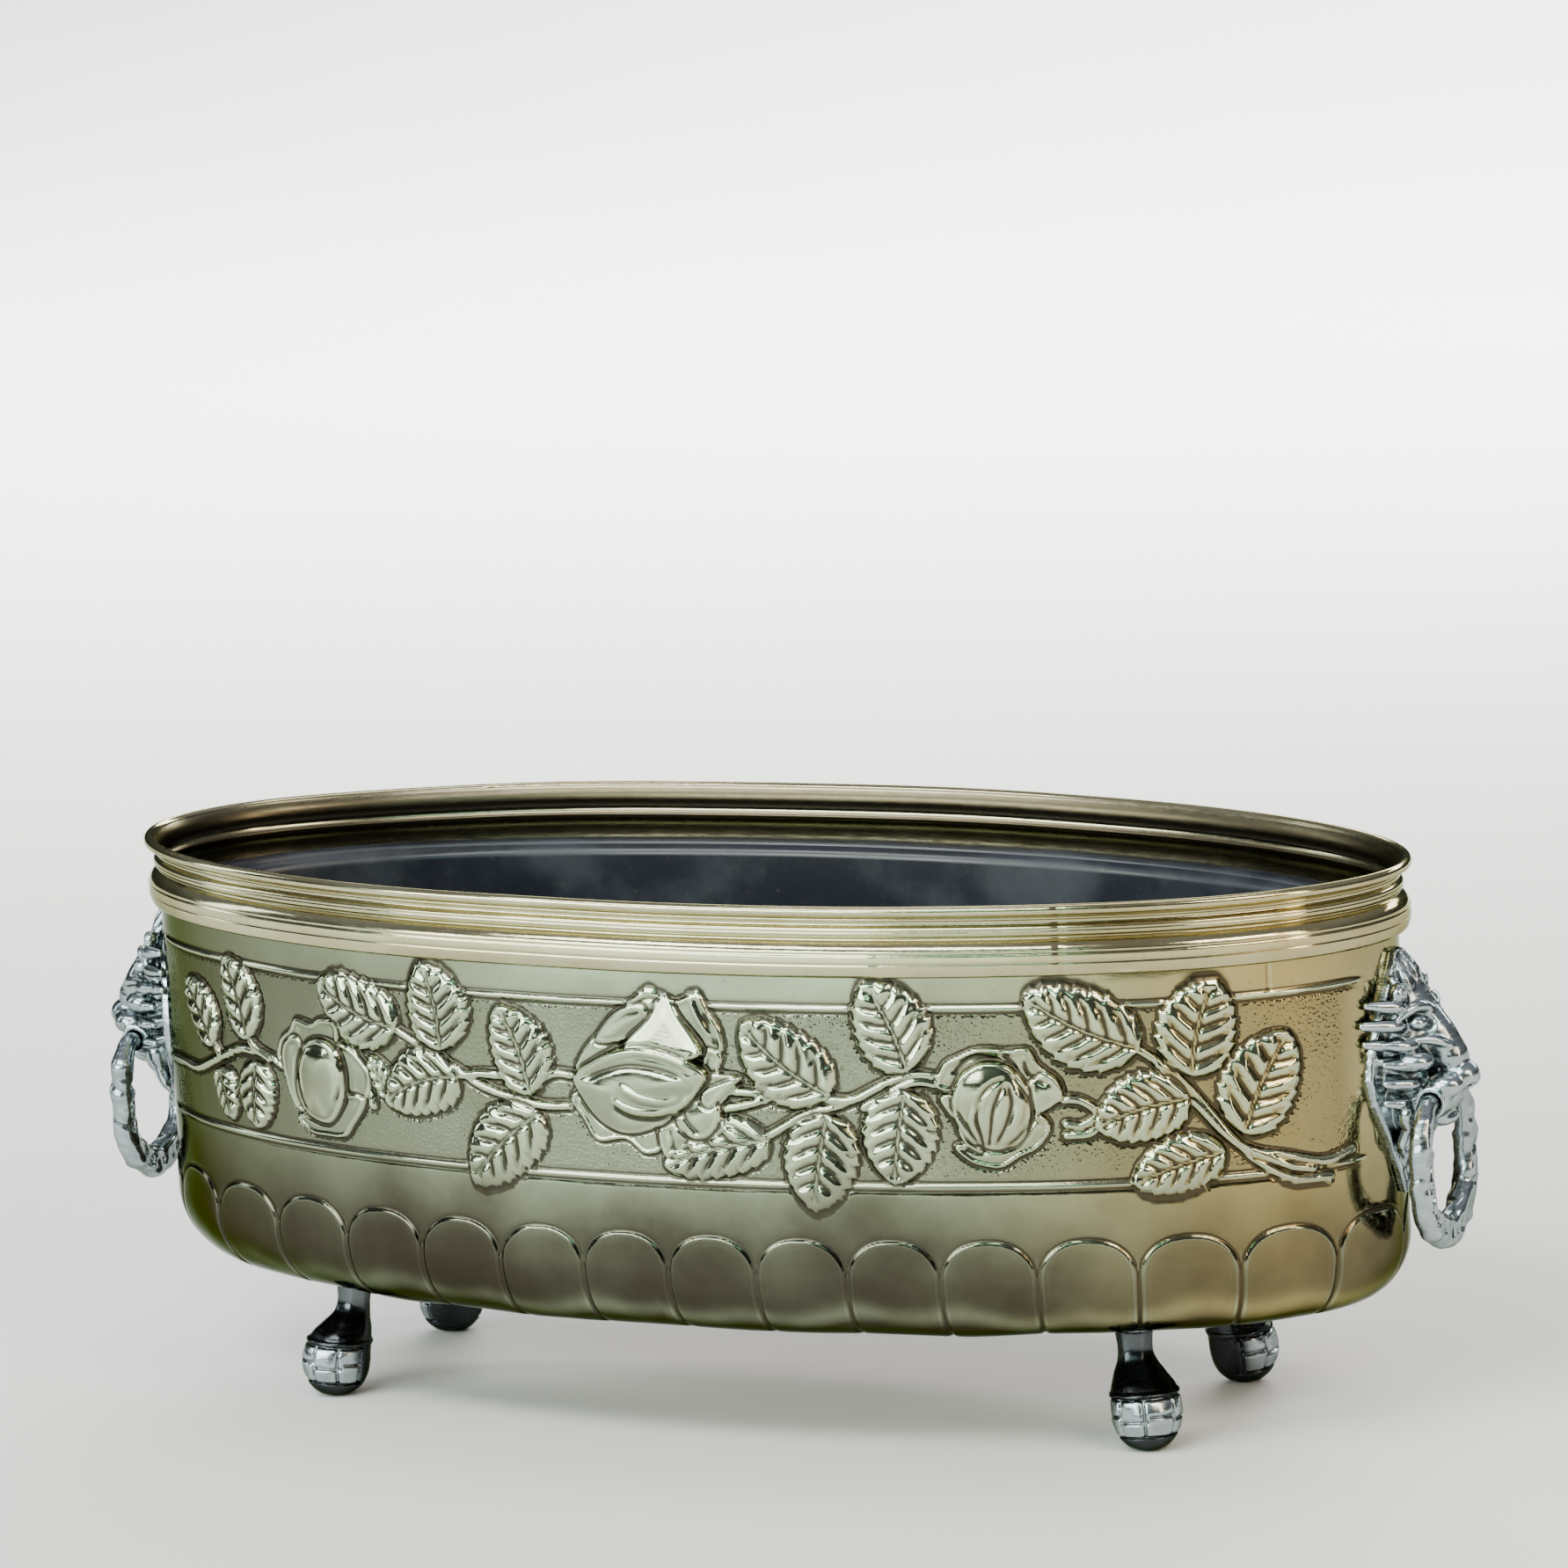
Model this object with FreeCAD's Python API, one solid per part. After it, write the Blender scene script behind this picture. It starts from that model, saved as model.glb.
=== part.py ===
"""Oval brass planter pot (jardiniere): repousse wall with a gadrooned foot, moulded rim rolled over a wire,
two cast lion masks with drop rings, four cast ball feet and a lift-out liner.

Frame: origin on the ground under the middle of the pot, +X along the long axis, -Y the front, +Z up.
All sizes are millimetres. Offsets are measured outward from the wall's outer oval, along its normal.
"""
import FreeCAD, Part
import math
import os

V = FreeCAD.Vector
UP = V(0, 0, 1)

# Wall oval and heights
WALL_A = 220.2
WALL_B = 97.2
HEIGHT = 186.0
BASE_Z = 41.0
SHEET = 1.0
WALL_TOP = 166.0

# Gadrooned lower part
LOBES = 32
LOBE_START = 3.0
LOBE_TOP = 76.5
LOBE_FULL = 64.0
LOBE_PROUD = 0.7
GROOVE_DEPTH = 1.5
CURL_INSET = 22.0
CURL_ANGLES = (20.0, 40.0, 58.0, 74.0, 90.0)
FLANGE_INSET = 38.0
PLATE_INSET = 26.0
PLATE_THICK = 1.2

# Solder fills this gap between the sheet wall and what is fixed on its outside
SOLDER = 0.12

# Rim band, rolled over a wire
LIP_OUT = 4.8
ROLL_R = 1.75
ROLL_FROM_NECK = 215
ROLL_OUTERMOST = 345
ROLL_TO_LIP = 110
WIRE_R = 0.92
BAND_BOTTOM = 162.6
BAND_FOOT_OUT = 1.2
TORUS_OUT = 4.0
TORUS_Z = 168.3
TORUS_IN = 3.1
TORUS_IN_Z = 169.6
GROOVE_OUT = 1.0
GROOVE_Z = 174.7
BEAD_OUT = 1.9
BEAD_Z = 177.3
NECK_OUT = 0.7
NECK_IN = -0.2
NECK_LOW = 179.9
NECK_HIGH = 181.8
BAND_SHEET = 0.9

# Lion masks: height, half width and reach beyond the middle of the oval
MASK_SECTIONS = (
    (80.0, 3.0, 222.0),
    (87.0, 7.5, 224.6),
    (95.0, 10.0, 227.0),
    (103.0, 11.5, 228.6),
    (110.0, 16.5, 230.5),
    (118.0, 19.5, 234.0),
    (128.0, 18.0, 235.0),
    (138.0, 14.5, 233.5),
    (148.0, 10.0, 230.0),
    (154.5, 6.0, 226.8),
    (158.5, 3.0, 223.2),
)
MASK_SWELL = 0.72
MASK_BACK = 200.0
MUZZLE_R = 7.4
MUZZLE_LENGTH = 14.0
NOSE_X = 248.4
NOSE_Z = 118.6
CHIN_R = 6.0
CHIN_BACK = 2.0
CHIN_DROP = 6.5
BROW_R = 4.6
BROW_X = 234.5
BROW_Y = 6.5
BROW_Z = 131.5
TUFT_R = 4.4
TUFT_ANGLES = (-24.0, 0.0, 24.0, 48.0)
TUFT_X = 222.5
TUFT_Z = 121.0
TUFT_HALF_WIDTH = 17.5
TUFT_HALF_HEIGHT = 20.0
STUD_R = 2.0
STUD_HOLE_R = 2.15
STUD_HEIGHTS = (92.0, 140.0)
STUD_END = 214.2
WASHER_R = 4.4
WASHER_THICK = 0.8
WASHER_GAP = 0.02
NUT_ACROSS = 7.0
NUT_THICK = 2.8

# Ring handles: they hang from a straight bar through the lion's mouth
HINGE_X = 235.2
HINGE_Z = 110.5
BAR_R = 3.0
BORE_R = 3.06
BAR_HALF = 13.0
JAW_HALF = 10.4
LOOP_HALF = 22.6
LOOP_BOTTOM = 63.6
RING_R = 3.3
RING_CLEAR_R = 5.6

# Feet; each section of a leg is its height, its middle's distance from the stud's line, and its radius
FOOT_X = 141.0
FOOT_Y = 38.0
FOOT_SPLAY = 10.0
LEG_SECTIONS = (
    (BASE_Z, 0.0, 13.5),
    (39.6, 0.0, 12.5),
    (37.2, 0.6, 8.2),
    (33.0, 2.0, 5.6),
    (28.0, 4.2, 5.2),
    (23.0, 7.0, 6.6),
    (19.0, 8.8, 8.6),
)
BALL_R = 12.0
BALL_Z = 11.8
FOOT_STUD_R = 2.5
FOOT_HOLE_R = 2.65
FOOT_STUD_TOP = BASE_Z + 8.0
FOOT_WASHER_R = 5.5
FOOT_NUT_ACROSS = 8.0
FOOT_NUT_THICK = 3.6

# Lift-out liner
LINER_TOP = 168.0
LINER_FLOOR = FOOT_STUD_TOP
LINER_THICK = 1.6
LINER_INSET_TOP = 7.6
LINER_INSET_BASE = 13.0
LINER_LIP_INSET = 2.4
LINER_LIP_HEIGHT = 5.0
LINER_LIP_DROP = 1.8


def arc(start, middle, end):
    return Part.Arc(start, middle, end).toShape()


def line(start, end):
    return Part.LineSegment(start, end).toShape()


def cylinder(radius, length, base, axis):
    return Part.makeCylinder(radius, length, base, axis)


def oval_wire(inset, z):
    oval = Part.Ellipse(V(0, 0, z), WALL_A - inset, WALL_B - inset)
    return Part.Wire([oval.toShape()])


def oval_prism(inset, low, high):
    return Part.Face(oval_wire(inset, low)).extrude(V(0, 0, high - low))


def oval_angles(count):
    """Angles on the wall oval that are evenly spaced along its length, starting just right of the front."""
    steps = 7200
    lengths = [0.0]
    for i in range(steps):
        t = 2 * math.pi * (i + 0.5) / steps
        lengths.append(lengths[-1] + math.hypot(WALL_A * math.sin(t), WALL_B * math.cos(t)))
    angles = []
    i = 0
    for k in range(count):
        while lengths[i] < LOBE_START + lengths[-1] * k / count:
            i += 1
        angles.append(2 * math.pi * i / steps - math.pi / 2)
    return angles


def oval_point(angle, offset, z):
    """Point at an offset along the wall oval's outward normal."""
    nx = WALL_B * math.cos(angle)
    ny = WALL_A * math.sin(angle)
    size = math.hypot(nx, ny)
    return V(WALL_A * math.cos(angle) + offset * nx / size, WALL_B * math.sin(angle) + offset * ny / size, z)


def sweep(edges):
    """Carry a closed profile round the wall oval. Profile x is the offset, profile z the height."""
    profile = Part.Wire(edges)
    profile.translate(V(WALL_A, 0, 0))
    path = oval_wire(0, 0)
    return Part.Solid(path.makePipeShell([profile], True, True))


def sweep_circle(radius, offset, z):
    circle = Part.Circle(V(offset, 0, z), V(0, 1, 0), radius)
    return sweep([circle.toShape()])


def lobe_levels():
    """Height, crest offset and groove offset from the plain wall down to the turned-in flange."""
    levels = [
        (LOBE_TOP, 0.0, 0.0),
        (LOBE_TOP - 5.0, 0.6 * LOBE_PROUD, -0.2 * GROOVE_DEPTH),
        (LOBE_FULL, LOBE_PROUD, -GROOVE_DEPTH),
    ]
    drop = LOBE_FULL - BASE_Z
    for degrees in CURL_ANGLES:
        turn = math.radians(degrees)
        fade = math.cos(turn)
        inset = CURL_INSET * (1 - math.cos(turn))
        z = LOBE_FULL - drop * math.sin(turn)
        levels.append((z, LOBE_PROUD * fade - inset, -GROOVE_DEPTH * fade - inset))
    return levels


def scalloped_wire(z, crest, groove):
    angles = oval_angles(2 * LOBES)
    edges = []
    for k in range(LOBES):
        start = oval_point(angles[2 * k], groove, z)
        middle = oval_point(angles[2 * k + 1], crest, z)
        end = oval_point(angles[(2 * k + 2) % (2 * LOBES)], groove, z)
        edges.append(arc(start, middle, end))
    return Part.Wire(edges)


def scalloped_solid(thickness):
    """Solid inside the wall's surface, moved inward by a thickness and closed at both ends."""
    top = WALL_TOP + (1.0 if thickness else 0.0)
    wires = [scalloped_wire(top, -thickness, -thickness)]
    drop = LOBE_FULL - BASE_Z
    for z, crest, groove in lobe_levels():
        rise = thickness * max(0.0, LOBE_FULL - z) / drop
        wires.append(scalloped_wire(z + rise, crest - thickness, groove - thickness))
    return Part.makeLoft(wires, True, True)


def body_wall():
    shell = scalloped_solid(0.0).cut(scalloped_solid(SHEET))
    shell = shell.cut(oval_prism(FLANGE_INSET, BASE_Z - 1, BASE_Z + 2 * SHEET))
    for side in (-1, 1):
        for z in STUD_HEIGHTS:
            shell = shell.cut(cylinder(STUD_HOLE_R, 40, V(side * MASK_BACK, 0, z), V(side, 0, 0)))
    for x, y in foot_places():
        shell = shell.cut(cylinder(FOOT_HOLE_R, 10, V(x, y, BASE_Z - 5), UP))
    return shell


def base_plate():
    plate = oval_prism(PLATE_INSET, BASE_Z + SHEET, BASE_Z + SHEET + PLATE_THICK)
    for x, y in foot_places():
        plate = plate.cut(cylinder(FOOT_HOLE_R, 10, V(x, y, BASE_Z - 5), UP))
    return plate


def roll_point(degrees):
    turn = math.radians(degrees)
    return V(LIP_OUT - ROLL_R + ROLL_R * math.cos(turn), 0, HEIGHT - ROLL_R + ROLL_R * math.sin(turn))


def rim_band():
    """Formed hoop: torus, groove, bead, neck and the roll over the wire."""
    foot_out = V(BAND_FOOT_OUT, 0, BAND_BOTTOM)
    foot_in = V(SOLDER, 0, BAND_BOTTOM)
    seat_top = V(SOLDER, 0, WALL_TOP)
    groove_out = V(GROOVE_OUT, 0, GROOVE_Z)
    groove_in = V(GROOVE_OUT - BAND_SHEET, 0, GROOVE_Z)
    neck_out = V(NECK_OUT, 0, NECK_LOW)
    neck_top = V(NECK_OUT, 0, NECK_HIGH)
    neck_in = V(NECK_IN, 0, NECK_HIGH)
    bead_in = V(NECK_IN, 0, NECK_LOW)
    lip_in = V(NECK_OUT, 0, HEIGHT - BAND_SHEET)
    edges = [
        line(foot_in, foot_out),
        arc(foot_out, V(TORUS_OUT, 0, TORUS_Z), groove_out),
        arc(groove_out, V(BEAD_OUT, 0, BEAD_Z), neck_out),
        line(neck_out, neck_top),
        line(neck_top, roll_point(ROLL_FROM_NECK)),
        arc(roll_point(ROLL_FROM_NECK), roll_point(ROLL_OUTERMOST), roll_point(ROLL_TO_LIP)),
        arc(roll_point(ROLL_TO_LIP), lip_in, neck_in),
        line(neck_in, bead_in),
        arc(bead_in, V(BEAD_OUT - BAND_SHEET, 0, BEAD_Z), groove_in),
        arc(groove_in, V(TORUS_IN, 0, TORUS_IN_Z), seat_top),
        line(seat_top, foot_in),
    ]
    return sweep(edges).cut(sweep_circle(WIRE_R, LIP_OUT - ROLL_R, HEIGHT - ROLL_R))


def rim_wire():
    return sweep_circle(WIRE_R, LIP_OUT - ROLL_R, HEIGHT - ROLL_R)


def mask_section(z, half_width, reach):
    """D-shaped slice of the head, flat at the back."""
    left = V(MASK_BACK, -half_width, z)
    right = V(MASK_BACK, half_width, z)
    swell_x = MASK_BACK + MASK_SWELL * (reach - MASK_BACK)
    swell_y = MASK_SWELL * half_width
    bow = Part.BSplineCurve()
    bow.interpolate([left, V(swell_x, -swell_y, z), V(reach, 0, z), V(swell_x, swell_y, z), right])
    return Part.Wire([bow.toShape(), line(right, left)])


def sphere(radius, x, y, z):
    return Part.makeSphere(radius, V(x, y, z))


def lion_mask():
    """Right-hand mask; its back lies on the wall, and two studs go through to the inside."""
    head = Part.makeLoft([mask_section(*values) for values in MASK_SECTIONS], True, False)
    muzzle_x = NOSE_X - MUZZLE_R
    muzzle_base = V(muzzle_x - MUZZLE_LENGTH, 0, NOSE_Z)
    head = head.fuse(cylinder(MUZZLE_R, MUZZLE_LENGTH, muzzle_base, V(1, 0, 0)))
    head = head.fuse(sphere(MUZZLE_R, muzzle_x, 0, NOSE_Z))
    head = head.fuse(sphere(CHIN_R, HINGE_X - CHIN_BACK, 0, HINGE_Z - CHIN_DROP))
    for side in (-1, 1):
        head = head.fuse(sphere(BROW_R, BROW_X, side * BROW_Y, BROW_Z))
        for degrees in TUFT_ANGLES:
            turn = math.radians(degrees)
            y = side * TUFT_HALF_WIDTH * math.cos(turn)
            z = TUFT_Z + TUFT_HALF_HEIGHT * math.sin(turn)
            head = head.fuse(sphere(TUFT_R, TUFT_X, y, z))
    head = head.cut(cylinder(BORE_R, 60, V(HINGE_X, -30, HINGE_Z), V(0, 1, 0)))
    for side in (-1, 1):
        head = head.cut(cylinder(RING_CLEAR_R, 20, V(HINGE_X, side * JAW_HALF, HINGE_Z), V(0, side, 0)))
    head = head.cut(oval_prism(-SOLDER, 60, HEIGHT))
    for z in STUD_HEIGHTS:
        head = head.fuse(cylinder(STUD_R, muzzle_base.x - STUD_END, V(STUD_END, 0, z), V(1, 0, 0)))
    return head


def ring_corner(side):
    """Quarter turn between the bar and the drop loop."""
    radius = LOOP_HALF - BAR_HALF
    bend = radius * (1 - math.sqrt(0.5))
    start = V(HINGE_X, side * BAR_HALF, HINGE_Z)
    middle = V(HINGE_X, side * (LOOP_HALF - bend), HINGE_Z - bend)
    end = V(HINGE_X, side * LOOP_HALF, HINGE_Z - radius)
    return arc(start, middle, end)


def ring_handle():
    """Right-hand ring: straight bar in the mouth, then an oval drop loop."""
    bar = cylinder(BAR_R, 2 * BAR_HALF, V(HINGE_X, -BAR_HALF, HINGE_Z), V(0, 1, 0))
    middle_z = HINGE_Z - (LOOP_HALF - BAR_HALF)
    bottom = V(HINGE_X, 0, LOOP_BOTTOM)
    oval = Part.Ellipse(bottom, V(HINGE_X, LOOP_HALF, middle_z), V(HINGE_X, 0, middle_z))
    lower_half = Part.ArcOfEllipse(oval, -math.pi / 2, math.pi / 2).toShape()
    path = Part.Wire(Part.__sortEdges__([ring_corner(-1), lower_half, ring_corner(1)]))
    start = path.OrderedVertexes[0].Point
    section = Part.Wire([Part.Circle(start, V(0, 1, 0), RING_R).toShape()])
    return bar.fuse(Part.Solid(path.makePipeShell([section], True, True)))


def hexagon(across, thickness, base, axis):
    radius = across / math.sqrt(3)
    corners = []
    for k in range(7):
        turn = math.radians(60 * k)
        corners.append(V(radius * math.cos(turn), radius * math.sin(turn), 0))
    nut = Part.Face(Part.makePolygon(corners)).extrude(V(0, 0, thickness))
    nut.Placement = FreeCAD.Placement(base, FreeCAD.Rotation(UP, axis))
    return nut


def mask_washers():
    """Flat washers that bear on the wall's hollow inner face."""
    washers = []
    for side in (-1, 1):
        for z in STUD_HEIGHTS:
            base = V(side * washer_face_x(), 0, z)
            disc = cylinder(WASHER_R, WASHER_THICK, base, V(-side, 0, 0))
            washers.append(disc.cut(cylinder(STUD_HOLE_R, WASHER_THICK, base, V(-side, 0, 0))))
    return Part.makeCompound(washers)


def washer_face_x():
    inner_a = WALL_A - SHEET
    inner_b = WALL_B - SHEET
    return inner_a * math.sqrt(1 - (WASHER_R / inner_b) ** 2) - WASHER_GAP


def mask_nuts():
    nuts = []
    for side in (-1, 1):
        for z in STUD_HEIGHTS:
            base = V(side * (washer_face_x() - WASHER_THICK), 0, z)
            nut = hexagon(NUT_ACROSS, NUT_THICK, base, V(-side, 0, 0))
            nuts.append(nut.cut(cylinder(STUD_R, NUT_THICK, base, V(-side, 0, 0))))
    return Part.makeCompound(nuts)


def foot_places():
    return [(x, y) for y in (-FOOT_Y, FOOT_Y) for x in (-FOOT_X, FOOT_X)]


def foot():
    """One foot, with its stud on the Z axis and the ball splayed out along +X."""
    wires = []
    for z, u, radius in LEG_SECTIONS:
        wires.append(Part.Wire([Part.Circle(V(u, 0, z), UP, radius).toShape()]))
    leg = Part.makeLoft(wires, True, False)
    leg = leg.fuse(sphere(BALL_R, FOOT_SPLAY, 0, BALL_Z))
    leg = leg.cut(Part.makeBox(60, 60, 10, V(-30, -30, -10)))
    return leg.fuse(cylinder(FOOT_STUD_R, FOOT_STUD_TOP - BASE_Z + 2, V(0, 0, BASE_Z - 2), UP))


def placed_foot(x, y):
    piece = foot()
    piece.rotate(V(0, 0, 0), UP, math.degrees(math.atan2(math.copysign(1, y), math.copysign(1, x))))
    piece.translate(V(x, y, 0))
    return piece


def foot_washers():
    washers = []
    for x, y in foot_places():
        base = V(x, y, BASE_Z + SHEET + PLATE_THICK)
        disc = cylinder(FOOT_WASHER_R, WASHER_THICK, base, UP)
        washers.append(disc.cut(cylinder(FOOT_HOLE_R, WASHER_THICK, base, UP)))
    return Part.makeCompound(washers)


def foot_nuts():
    nuts = []
    for x, y in foot_places():
        base = V(x, y, BASE_Z + SHEET + PLATE_THICK + WASHER_THICK)
        nut = hexagon(FOOT_NUT_ACROSS, FOOT_NUT_THICK, base, UP)
        nuts.append(nut.cut(cylinder(FOOT_STUD_R, FOOT_NUT_THICK, base, UP)))
    return Part.makeCompound(nuts)


def liner():
    """Tapered tray with a turned-out lip; it stands on the foot studs."""
    lip_low = LINER_TOP - LINER_LIP_HEIGHT
    outer = Part.makeLoft([
        oval_wire(LINER_INSET_BASE, LINER_FLOOR),
        oval_wire(LINER_INSET_TOP, LINER_TOP),
    ], True, True)
    lip = oval_prism(LINER_LIP_INSET, lip_low, LINER_TOP)
    hook = oval_prism(LINER_LIP_INSET + LINER_THICK, lip_low, LINER_TOP - LINER_LIP_DROP)
    lip = lip.cut(hook.cut(outer))
    inner = Part.makeLoft([
        oval_wire(LINER_INSET_BASE + LINER_THICK, LINER_FLOOR + LINER_THICK),
        oval_wire(LINER_INSET_TOP + LINER_THICK, LINER_TOP),
    ], True, True)
    return outer.fuse(lip).cut(inner)


def mirrored_end(shape):
    """The left-hand copy of a right-hand piece, turned half round about the pot's upright axis."""
    copy = shape.copy()
    copy.rotate(V(0, 0, 0), UP, 180)
    return copy


def main():
    os.makedirs("parts", exist_ok=True)
    mask = lion_mask()
    ring = ring_handle()
    pieces = {
        "body_wall": body_wall(),
        "base_plate": base_plate(),
        "rim_band": rim_band(),
        "rim_wire": rim_wire(),
        "lion_mask_right": mask,
        "lion_mask_left": mirrored_end(mask),
        "ring_handle_right": ring,
        "ring_handle_left": mirrored_end(ring),
        "mask_washers": mask_washers(),
        "mask_nuts": mask_nuts(),
        "foot_washers": foot_washers(),
        "foot_nuts": foot_nuts(),
        "liner": liner(),
    }
    for (x, y), name in zip(foot_places(), ("front_left", "front_right", "back_left", "back_right")):
        pieces["foot_" + name] = placed_foot(x, y)
    for name, shape in pieces.items():
        volume = shape.Volume / 1000
        print(name, "solids", len(shape.Solids), "valid", shape.isValid(), "cm3 %.2f" % volume)
        shape.exportStep("parts/" + name + ".step")


main()
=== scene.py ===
"""Looks of the oval brass planter pot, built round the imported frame.

Shapes are worked out in millimetres and turned into metres when a mesh is made. Around the pot, a place on
the wall is (s, z): s runs along the wall oval from the middle of the front towards +X, z is the height.
"""
import functools
import math

import bpy
import numpy as np
from mathutils import Matrix, Vector


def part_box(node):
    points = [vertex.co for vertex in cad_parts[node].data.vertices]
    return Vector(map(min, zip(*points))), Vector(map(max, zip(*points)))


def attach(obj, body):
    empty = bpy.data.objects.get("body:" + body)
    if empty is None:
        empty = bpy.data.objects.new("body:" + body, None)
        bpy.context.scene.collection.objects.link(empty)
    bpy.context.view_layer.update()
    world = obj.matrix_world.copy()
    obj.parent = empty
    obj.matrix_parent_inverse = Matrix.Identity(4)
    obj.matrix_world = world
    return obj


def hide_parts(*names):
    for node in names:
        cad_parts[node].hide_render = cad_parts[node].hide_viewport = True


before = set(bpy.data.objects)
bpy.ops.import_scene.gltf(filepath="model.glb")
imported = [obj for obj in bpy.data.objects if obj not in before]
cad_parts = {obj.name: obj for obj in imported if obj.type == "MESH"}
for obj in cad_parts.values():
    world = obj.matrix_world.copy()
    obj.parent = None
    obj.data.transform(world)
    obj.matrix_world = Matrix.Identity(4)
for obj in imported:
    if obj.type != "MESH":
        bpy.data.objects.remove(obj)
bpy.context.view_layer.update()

MM = 0.001
TWO_PI = 2 * math.pi


def mm_box(node):
    low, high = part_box(node)
    return np.array(low) / MM, np.array(high) / MM


# Driving sizes, taken from the frame
LIP_OUT = 4.8
RIM_HIGH = mm_box("rim_band")[1]
WALL_A = RIM_HIGH[0] - LIP_OUT
WALL_B = RIM_HIGH[1] - LIP_OUT
HEIGHT = RIM_HIGH[2]
WALL_LOW, WALL_HIGH = mm_box("body_wall")
BASE_Z = WALL_LOW[2]
WALL_TOP = WALL_HIGH[2]
SHEET = 1.0

# Frieze and lobes
UPPER_LINE = 152.2
LOWER_LINE = 94.2
FRIEZE_MIDDLE = 6
STEM_HALF = 1.35
STEM_HEIGHT = 1.15
LOBES = 32
LOBE_START = 3.0
LOBE_DRIFT = 5.0
LOBE_TOP = 76.8
LOBE_SHOULDER = 63.5
CURL_TOP = 64.0
CURL_INSET = 22.0
FLANGE_INSET = 38.0

# Places along the wall: its seam, and the middles of its right end, with a painted golden reflection, and of
# its left end, with a painted dark green reflection
SEAM_S = 205
GOLD_REFLECTION_S = 205
DARK_REFLECTION_S = -235


# ---------------- the wall oval

def oval_table():
    """Length along the oval from the front, for evenly spaced angles."""
    angles = np.linspace(0, TWO_PI, 20001) - math.pi / 2
    x = WALL_A * np.cos(angles)
    y = WALL_B * np.sin(angles)
    lengths = np.concatenate([[0], np.cumsum(np.hypot(np.diff(x), np.diff(y)))])
    return lengths, angles


OVAL_LENGTHS, OVAL_ANGLES = oval_table()
PERIMETER = OVAL_LENGTHS[-1]


def oval_at(s):
    """Point and outward normal on the wall oval, in plan."""
    angle = np.interp(np.mod(s, PERIMETER), OVAL_LENGTHS, OVAL_ANGLES)
    point = np.stack([WALL_A * np.cos(angle), WALL_B * np.sin(angle)], -1)
    normal = np.stack([WALL_B * np.cos(angle), WALL_A * np.sin(angle)], -1)
    return point, normal / np.linalg.norm(normal, axis=-1, keepdims=True)


def oval_grid(columns, levels):
    """Places spread evenly round the oval at each level, with the oval's points and outward normals."""
    s_line = np.arange(columns) * PERIMETER / columns
    s, level = np.meshgrid(s_line, levels)
    return s, level, *oval_at(s_line)


def stand_off(point, normal, offset, height):
    """Points of a grid that stand off the oval by an offset, each at its height."""
    plan = point[None] + normal[None] * offset[..., None]
    return np.concatenate([plan, height[..., None]], -1)


# ---------------- meshes

def put_in_scene(name, data):
    item = bpy.data.objects.new(name, data)
    bpy.context.scene.collection.objects.link(item)
    return item


def make_piece(name, vertices, faces, material, body, shades=None):
    """A mesh object in metres that rides on a body, with its named vertex shades."""
    mesh = bpy.data.meshes.new(name)
    vertices = np.asarray(vertices, np.float32) * MM
    faces = [np.asarray(group, np.int32) for group in faces]
    mesh.vertices.add(len(vertices))
    mesh.vertices.foreach_set("co", vertices.ravel())
    mesh.loops.add(sum(group.size for group in faces))
    mesh.loops.foreach_set("vertex_index", np.concatenate([group.ravel() for group in faces]))
    sizes = np.concatenate([np.full(len(group), group.shape[1]) for group in faces])
    mesh.polygons.add(len(sizes))
    mesh.polygons.foreach_set("loop_start", np.concatenate([[0], np.cumsum(sizes)[:-1]]).astype(np.int32))
    mesh.update(calc_edges=True)
    mesh.validate()
    for shade, values in (shades or {}).items():
        layer = mesh.attributes.new(shade, "FLOAT", "POINT")
        layer.data.foreach_set("value", np.asarray(values, np.float32).ravel())
    mesh.polygons.foreach_set("use_smooth", np.full(len(mesh.polygons), True))
    piece = put_in_scene(name, mesh)
    mesh.materials.append(material)
    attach(piece, body)
    return piece


def grid_faces(rows, columns):
    """Quads of a grid of rows by columns, wrapped round in the columns."""
    index = np.arange(rows * columns).reshape(rows, columns)
    index = np.concatenate([index, index[:, :1]], 1)
    quads = np.stack([index[:-1, :-1], index[1:, :-1], index[1:, 1:], index[:-1, 1:]], -1)
    return quads.reshape(-1, 4)


def blurred(field, reach):
    """Mean over a square window, wrapped round in the columns."""
    out = sum(np.roll(field, k, 1) for k in range(-reach, reach + 1)) / (2 * reach + 1)
    padded = np.pad(out, ((reach, reach), (0, 0)), mode="edge")
    return sum(padded[k:k + len(field)] for k in range(2 * reach + 1)) / (2 * reach + 1)


def smooth_step(low, high, value):
    """0 before low, 1 beyond high, eased between them; low may be the greater one."""
    t = np.clip((value - low) / (high - low), 0, 1)
    return t * t * (3 - 2 * t)


def bell(gap, width):
    return np.exp(-(gap / width) ** 2)


def smooth_path(points, steps=8, closed=False):
    """Rounded line through the points (Catmull-Rom)."""
    p = np.array(points, float)
    if closed:
        p = np.concatenate([p[-1:], p, p[:2]])
    else:
        p = np.concatenate([2 * p[:1] - p[1:2], p, 2 * p[-1:] - p[-2:-1]])
    t = np.linspace(0, 1, steps, endpoint=False)[:, None]
    spans = []
    for a, b, c, d in zip(p, p[1:], p[2:], p[3:]):
        square = 2 * a - 5 * b + 4 * c - d
        cube = 3 * b - a - 3 * c + d
        spans.append(0.5 * (2 * b + (c - a) * t + square * t ** 2 + cube * t ** 3))
    if not closed:
        spans.append(p[-2:-1])
    return np.concatenate(spans)


# ---------------- the frieze, drawn on a flat canvas

CANVAS_STEP = 0.4
CANVAS_S = np.arange(-244, 244, CANVAS_STEP)
CANVAS_Z = np.arange(82, 164, CANVAS_STEP)
S, Z = np.meshgrid(CANVAS_S, CANVAS_Z)
relief = np.zeros(S.shape)
ground = np.zeros(S.shape)


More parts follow.
